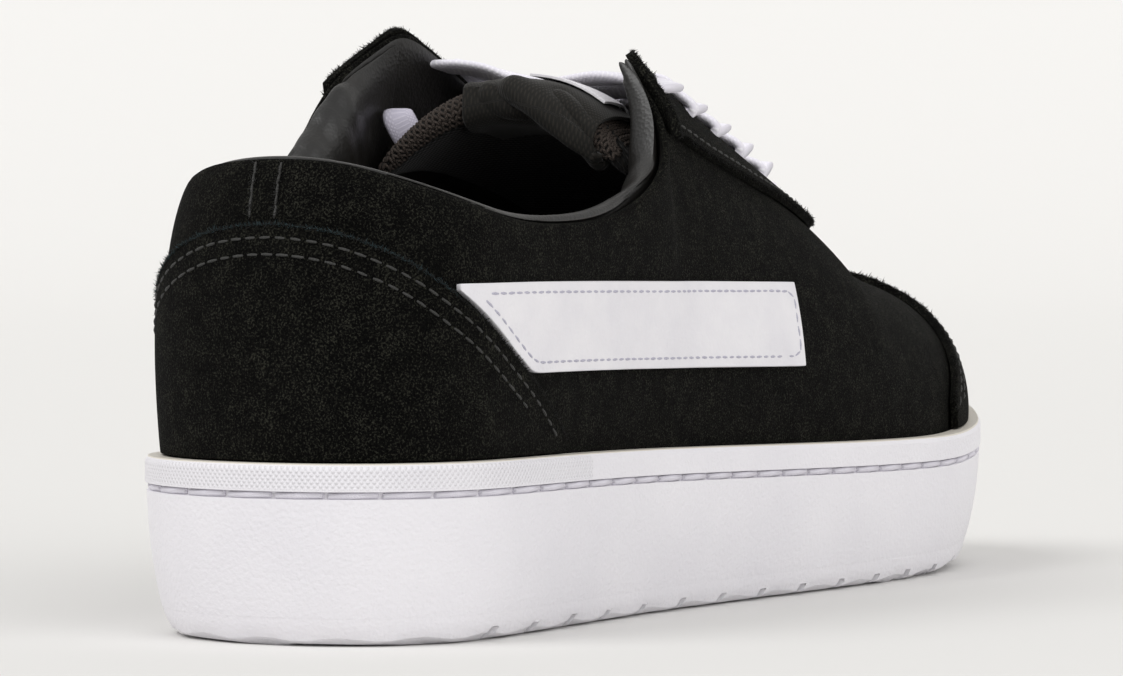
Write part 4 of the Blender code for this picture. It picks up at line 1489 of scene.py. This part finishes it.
# %% The blank tag
TAG_ROWS = 9
TAG_COLUMNS = 7
TAG_LIFT = 0.0011
TAG_THICKNESS = 0.0006

tag_points, tag_faces = [], []
for i in range(TAG_ROWS):
    for j in range(TAG_COLUMNS):
        spot = at(112 + 2 * j, -19 + 2 * i, 1000 * SKY)
        hit, normal, _, _ = label_tree.ray_cast(spot, DOWN)
        if hit is None:
            hit, normal, _, _ = tongue_tree.ray_cast(spot, DOWN)
        tag_points.append(hit + normal * TAG_LIFT)
for i in range(TAG_ROWS - 1):
    for j in range(TAG_COLUMNS - 1):
        a = i * TAG_COLUMNS + j
        tag_faces.append((a, a + 1, a + TAG_COLUMNS + 1, a + TAG_COLUMNS))
tag_mesh = bpy.data.meshes.new("blank_white_tag")
tag_mesh.from_pydata(tag_points, [], tag_faces)
tag = new_piece("blank_white_tag", tag_mesh)
cloth = tag.modifiers.new("cloth", "SOLIDIFY")
cloth.thickness = TAG_THICKNESS
soften(tag, 0.0001, 2)
declare(tag, band_leather, "label_weave")

# %% [markdown]
# ## Fibres
# Cut suede shows its fibres at every raw edge. Each fibre is a cone with three sides,
# and a few thousand of them along an edge make the fuzzy outline. They are meshes and
# not hair, so that they come along wherever the model is used.


# %% Fibres
def make_fibre(length, radius):
    """One fibre: a thin cone that stands on its root."""
    bpy.ops.mesh.primitive_cone_add(vertices=3, radius1=radius, radius2=0, depth=length)
    fibre = bpy.context.object
    for vertex in fibre.data.vertices:
        vertex.co.z += length / 2
    mesh = fibre.data
    bpy.data.objects.remove(fibre)
    return mesh


def fibre_places(points, tree, per_mm, spread, stand, rng):
    """Random places for fibres along a line, which lean out over the edge."""
    places = []
    line = resample(points, 0.001)
    for a, b in zip(line, line[1:]):
        for _ in range(per_mm):
            spot = a + (b - a) * rng.random()
            spot += Vector([rng.uniform(-spread, spread) for _ in range(3)])
            root, normal, _, _ = tree.find_nearest(spot)
            if root is None:
                continue
            lean = Vector([rng.uniform(-1, 1) for _ in range(3)])
            up = (normal * stand + lean).normalized()
            size = rng.uniform(0.4, 1.3) + 1.2 * rng.random() ** 8
            turn = up.to_track_quat("Z", "Y").to_matrix().to_4x4()
            places.append(Matrix.Translation(root) @ turn @ Matrix.Scale(size, 4))
    return places


# %% [markdown]
# ## Raw edges
# Each suede overlay's cut edge gets a fringe, except where it goes into the cup. The
# counter's hide was dyed less deep than its face, so a few fibres of its core show
# blue-green along the top of its edge. The back seam's stitches have thin black fuzz.

# %% Raw edges
FIBRES_PER_MM = 16
CORE_PER_MM = 12
SEAM_PER_MM = 14
CORE_FROM = 0.063
LARGEST_GAP = 0.012

rng = random.Random(7)
edge_fibres = []
for name, _ in SEAMS:
    loop = [point for point, inward in overlay_edges[name] if above_sole(point, inward)]
    runs, run = [], [loop[0]]
    for a, b in zip(loop, loop[1:]):
        if (b - a).length > LARGEST_GAP:
            runs.append(run)
            run = []
        run.append(b)
    runs.append(run)
    for run in runs:
        if len(run) > 2:
            tree = overlay_trees[name]
            edge_fibres += fibre_places(run, tree, FIBRES_PER_MM, 0.0005, 0.7, rng)
heel_edge = [
    point for point, inward in overlay_edges["suede_counter"]
    if above_sole(point, inward) and point.z > CORE_FROM
]
heel_tree = overlay_trees["suede_counter"]
core_fibres = fibre_places(heel_edge, heel_tree, CORE_PER_MM, 0.00035, 0.8, rng)
seam_fibres = []
for line in back_lines:
    seam_fibres += fibre_places(line, shell_tree, SEAM_PER_MM, 0.0005, 0.4, rng)
seam_fuzz = scatter("back_seam_fibres", make_fibre(0.0007, 0.00005), seam_fibres)
declare(seam_fuzz, black_thread, "suede")
core = scatter("counter_core_fibres", make_fibre(0.0007, 0.00005), core_fibres)
declare(core, fibre_teal, "suede")
fuzz = scatter("raw_edge_fibres", make_fibre(0.0006, 0.00007), edge_fibres)
declare(fuzz, fibre_black, "suede")

# %% [markdown]
# ## The floor
# The shoe stands on a sheet of pale paper that runs up behind it in a wide bend, so that
# no line shows where the floor ends. It is a plane whose far edge is pulled up and
# whose corner is bevelled.


# %% The floor
def pick_edges(piece, rule):
    """Selects the edges, in edit mode, both of whose ends keep the rule."""
    bpy.ops.mesh.select_all(action="DESELECT")
    mesh = bmesh.from_edit_mesh(piece.data)
    for edge in mesh.edges:
        if all(rule(vertex.co) for vertex in edge.verts):
            edge.select_set(True)
    bmesh.update_edit_mesh(piece.data)


bpy.ops.mesh.primitive_plane_add(size=8, rotation=(0, 0, VIEW_YAW))
pale_floor = bpy.context.object
pale_floor.name = "pale_floor"
bpy.ops.object.mode_set(mode="EDIT")
pick_edges(pale_floor, lambda place: place.x > 0)
bpy.ops.mesh.extrude_region_move(TRANSFORM_OT_translate={"value": (0, 0, 5)})
pick_edges(pale_floor, lambda place: place.x > 0 and place.z < 0.1)
bpy.ops.mesh.bevel(offset=2.0, segments=24)
bpy.ops.object.mode_set(mode="OBJECT")
bpy.ops.object.transform_apply(location=True, rotation=True, scale=True)
pale_floor.data.shade_smooth()
floor_paper, _, _ = new_finish(
    "matte_paper", Base_Color=linear("#e2e1df"), Roughness=0.95, Specular_IOR_Level=0.1
)
pale_floor.data.materials.append(floor_paper)

# %% [markdown]
# ## The light
# The photo was lit by large soft lamps. The room itself gives most of the light, and two
# broad suns stand for a lamp on the left and a wider one on the right. A sun's angle
# sets how soft its shadow is.

# %% The light
ROOM_LIGHT = 0.66

world = bpy.data.worlds.new("soft_room")
bpy.context.scene.world = world
world.use_nodes = True
room = world.node_tree.nodes["Background"]
room.inputs["Color"].default_value = linear("#f6f5f4")
room.inputs["Strength"].default_value = ROOM_LIGHT

SUNS = (
    ("key_window", (-0.75, 0.55, 1.0), 36, 1.25),
    ("fill_window", (-0.5, -1.0, 0.7), 60, 1.05),
)
for name, source, spread, power in SUNS:
    sun = bpy.data.lights.new(name, "SUN")
    sun.energy = power
    sun.angle = math.radians(spread)
    holder = bpy.data.objects.new(name, sun)
    bpy.context.scene.collection.objects.link(holder)
    holder.rotation_euler = (-Vector(source)).to_track_quat("-Z", "Y").to_euler()
    print(name, "from", source)
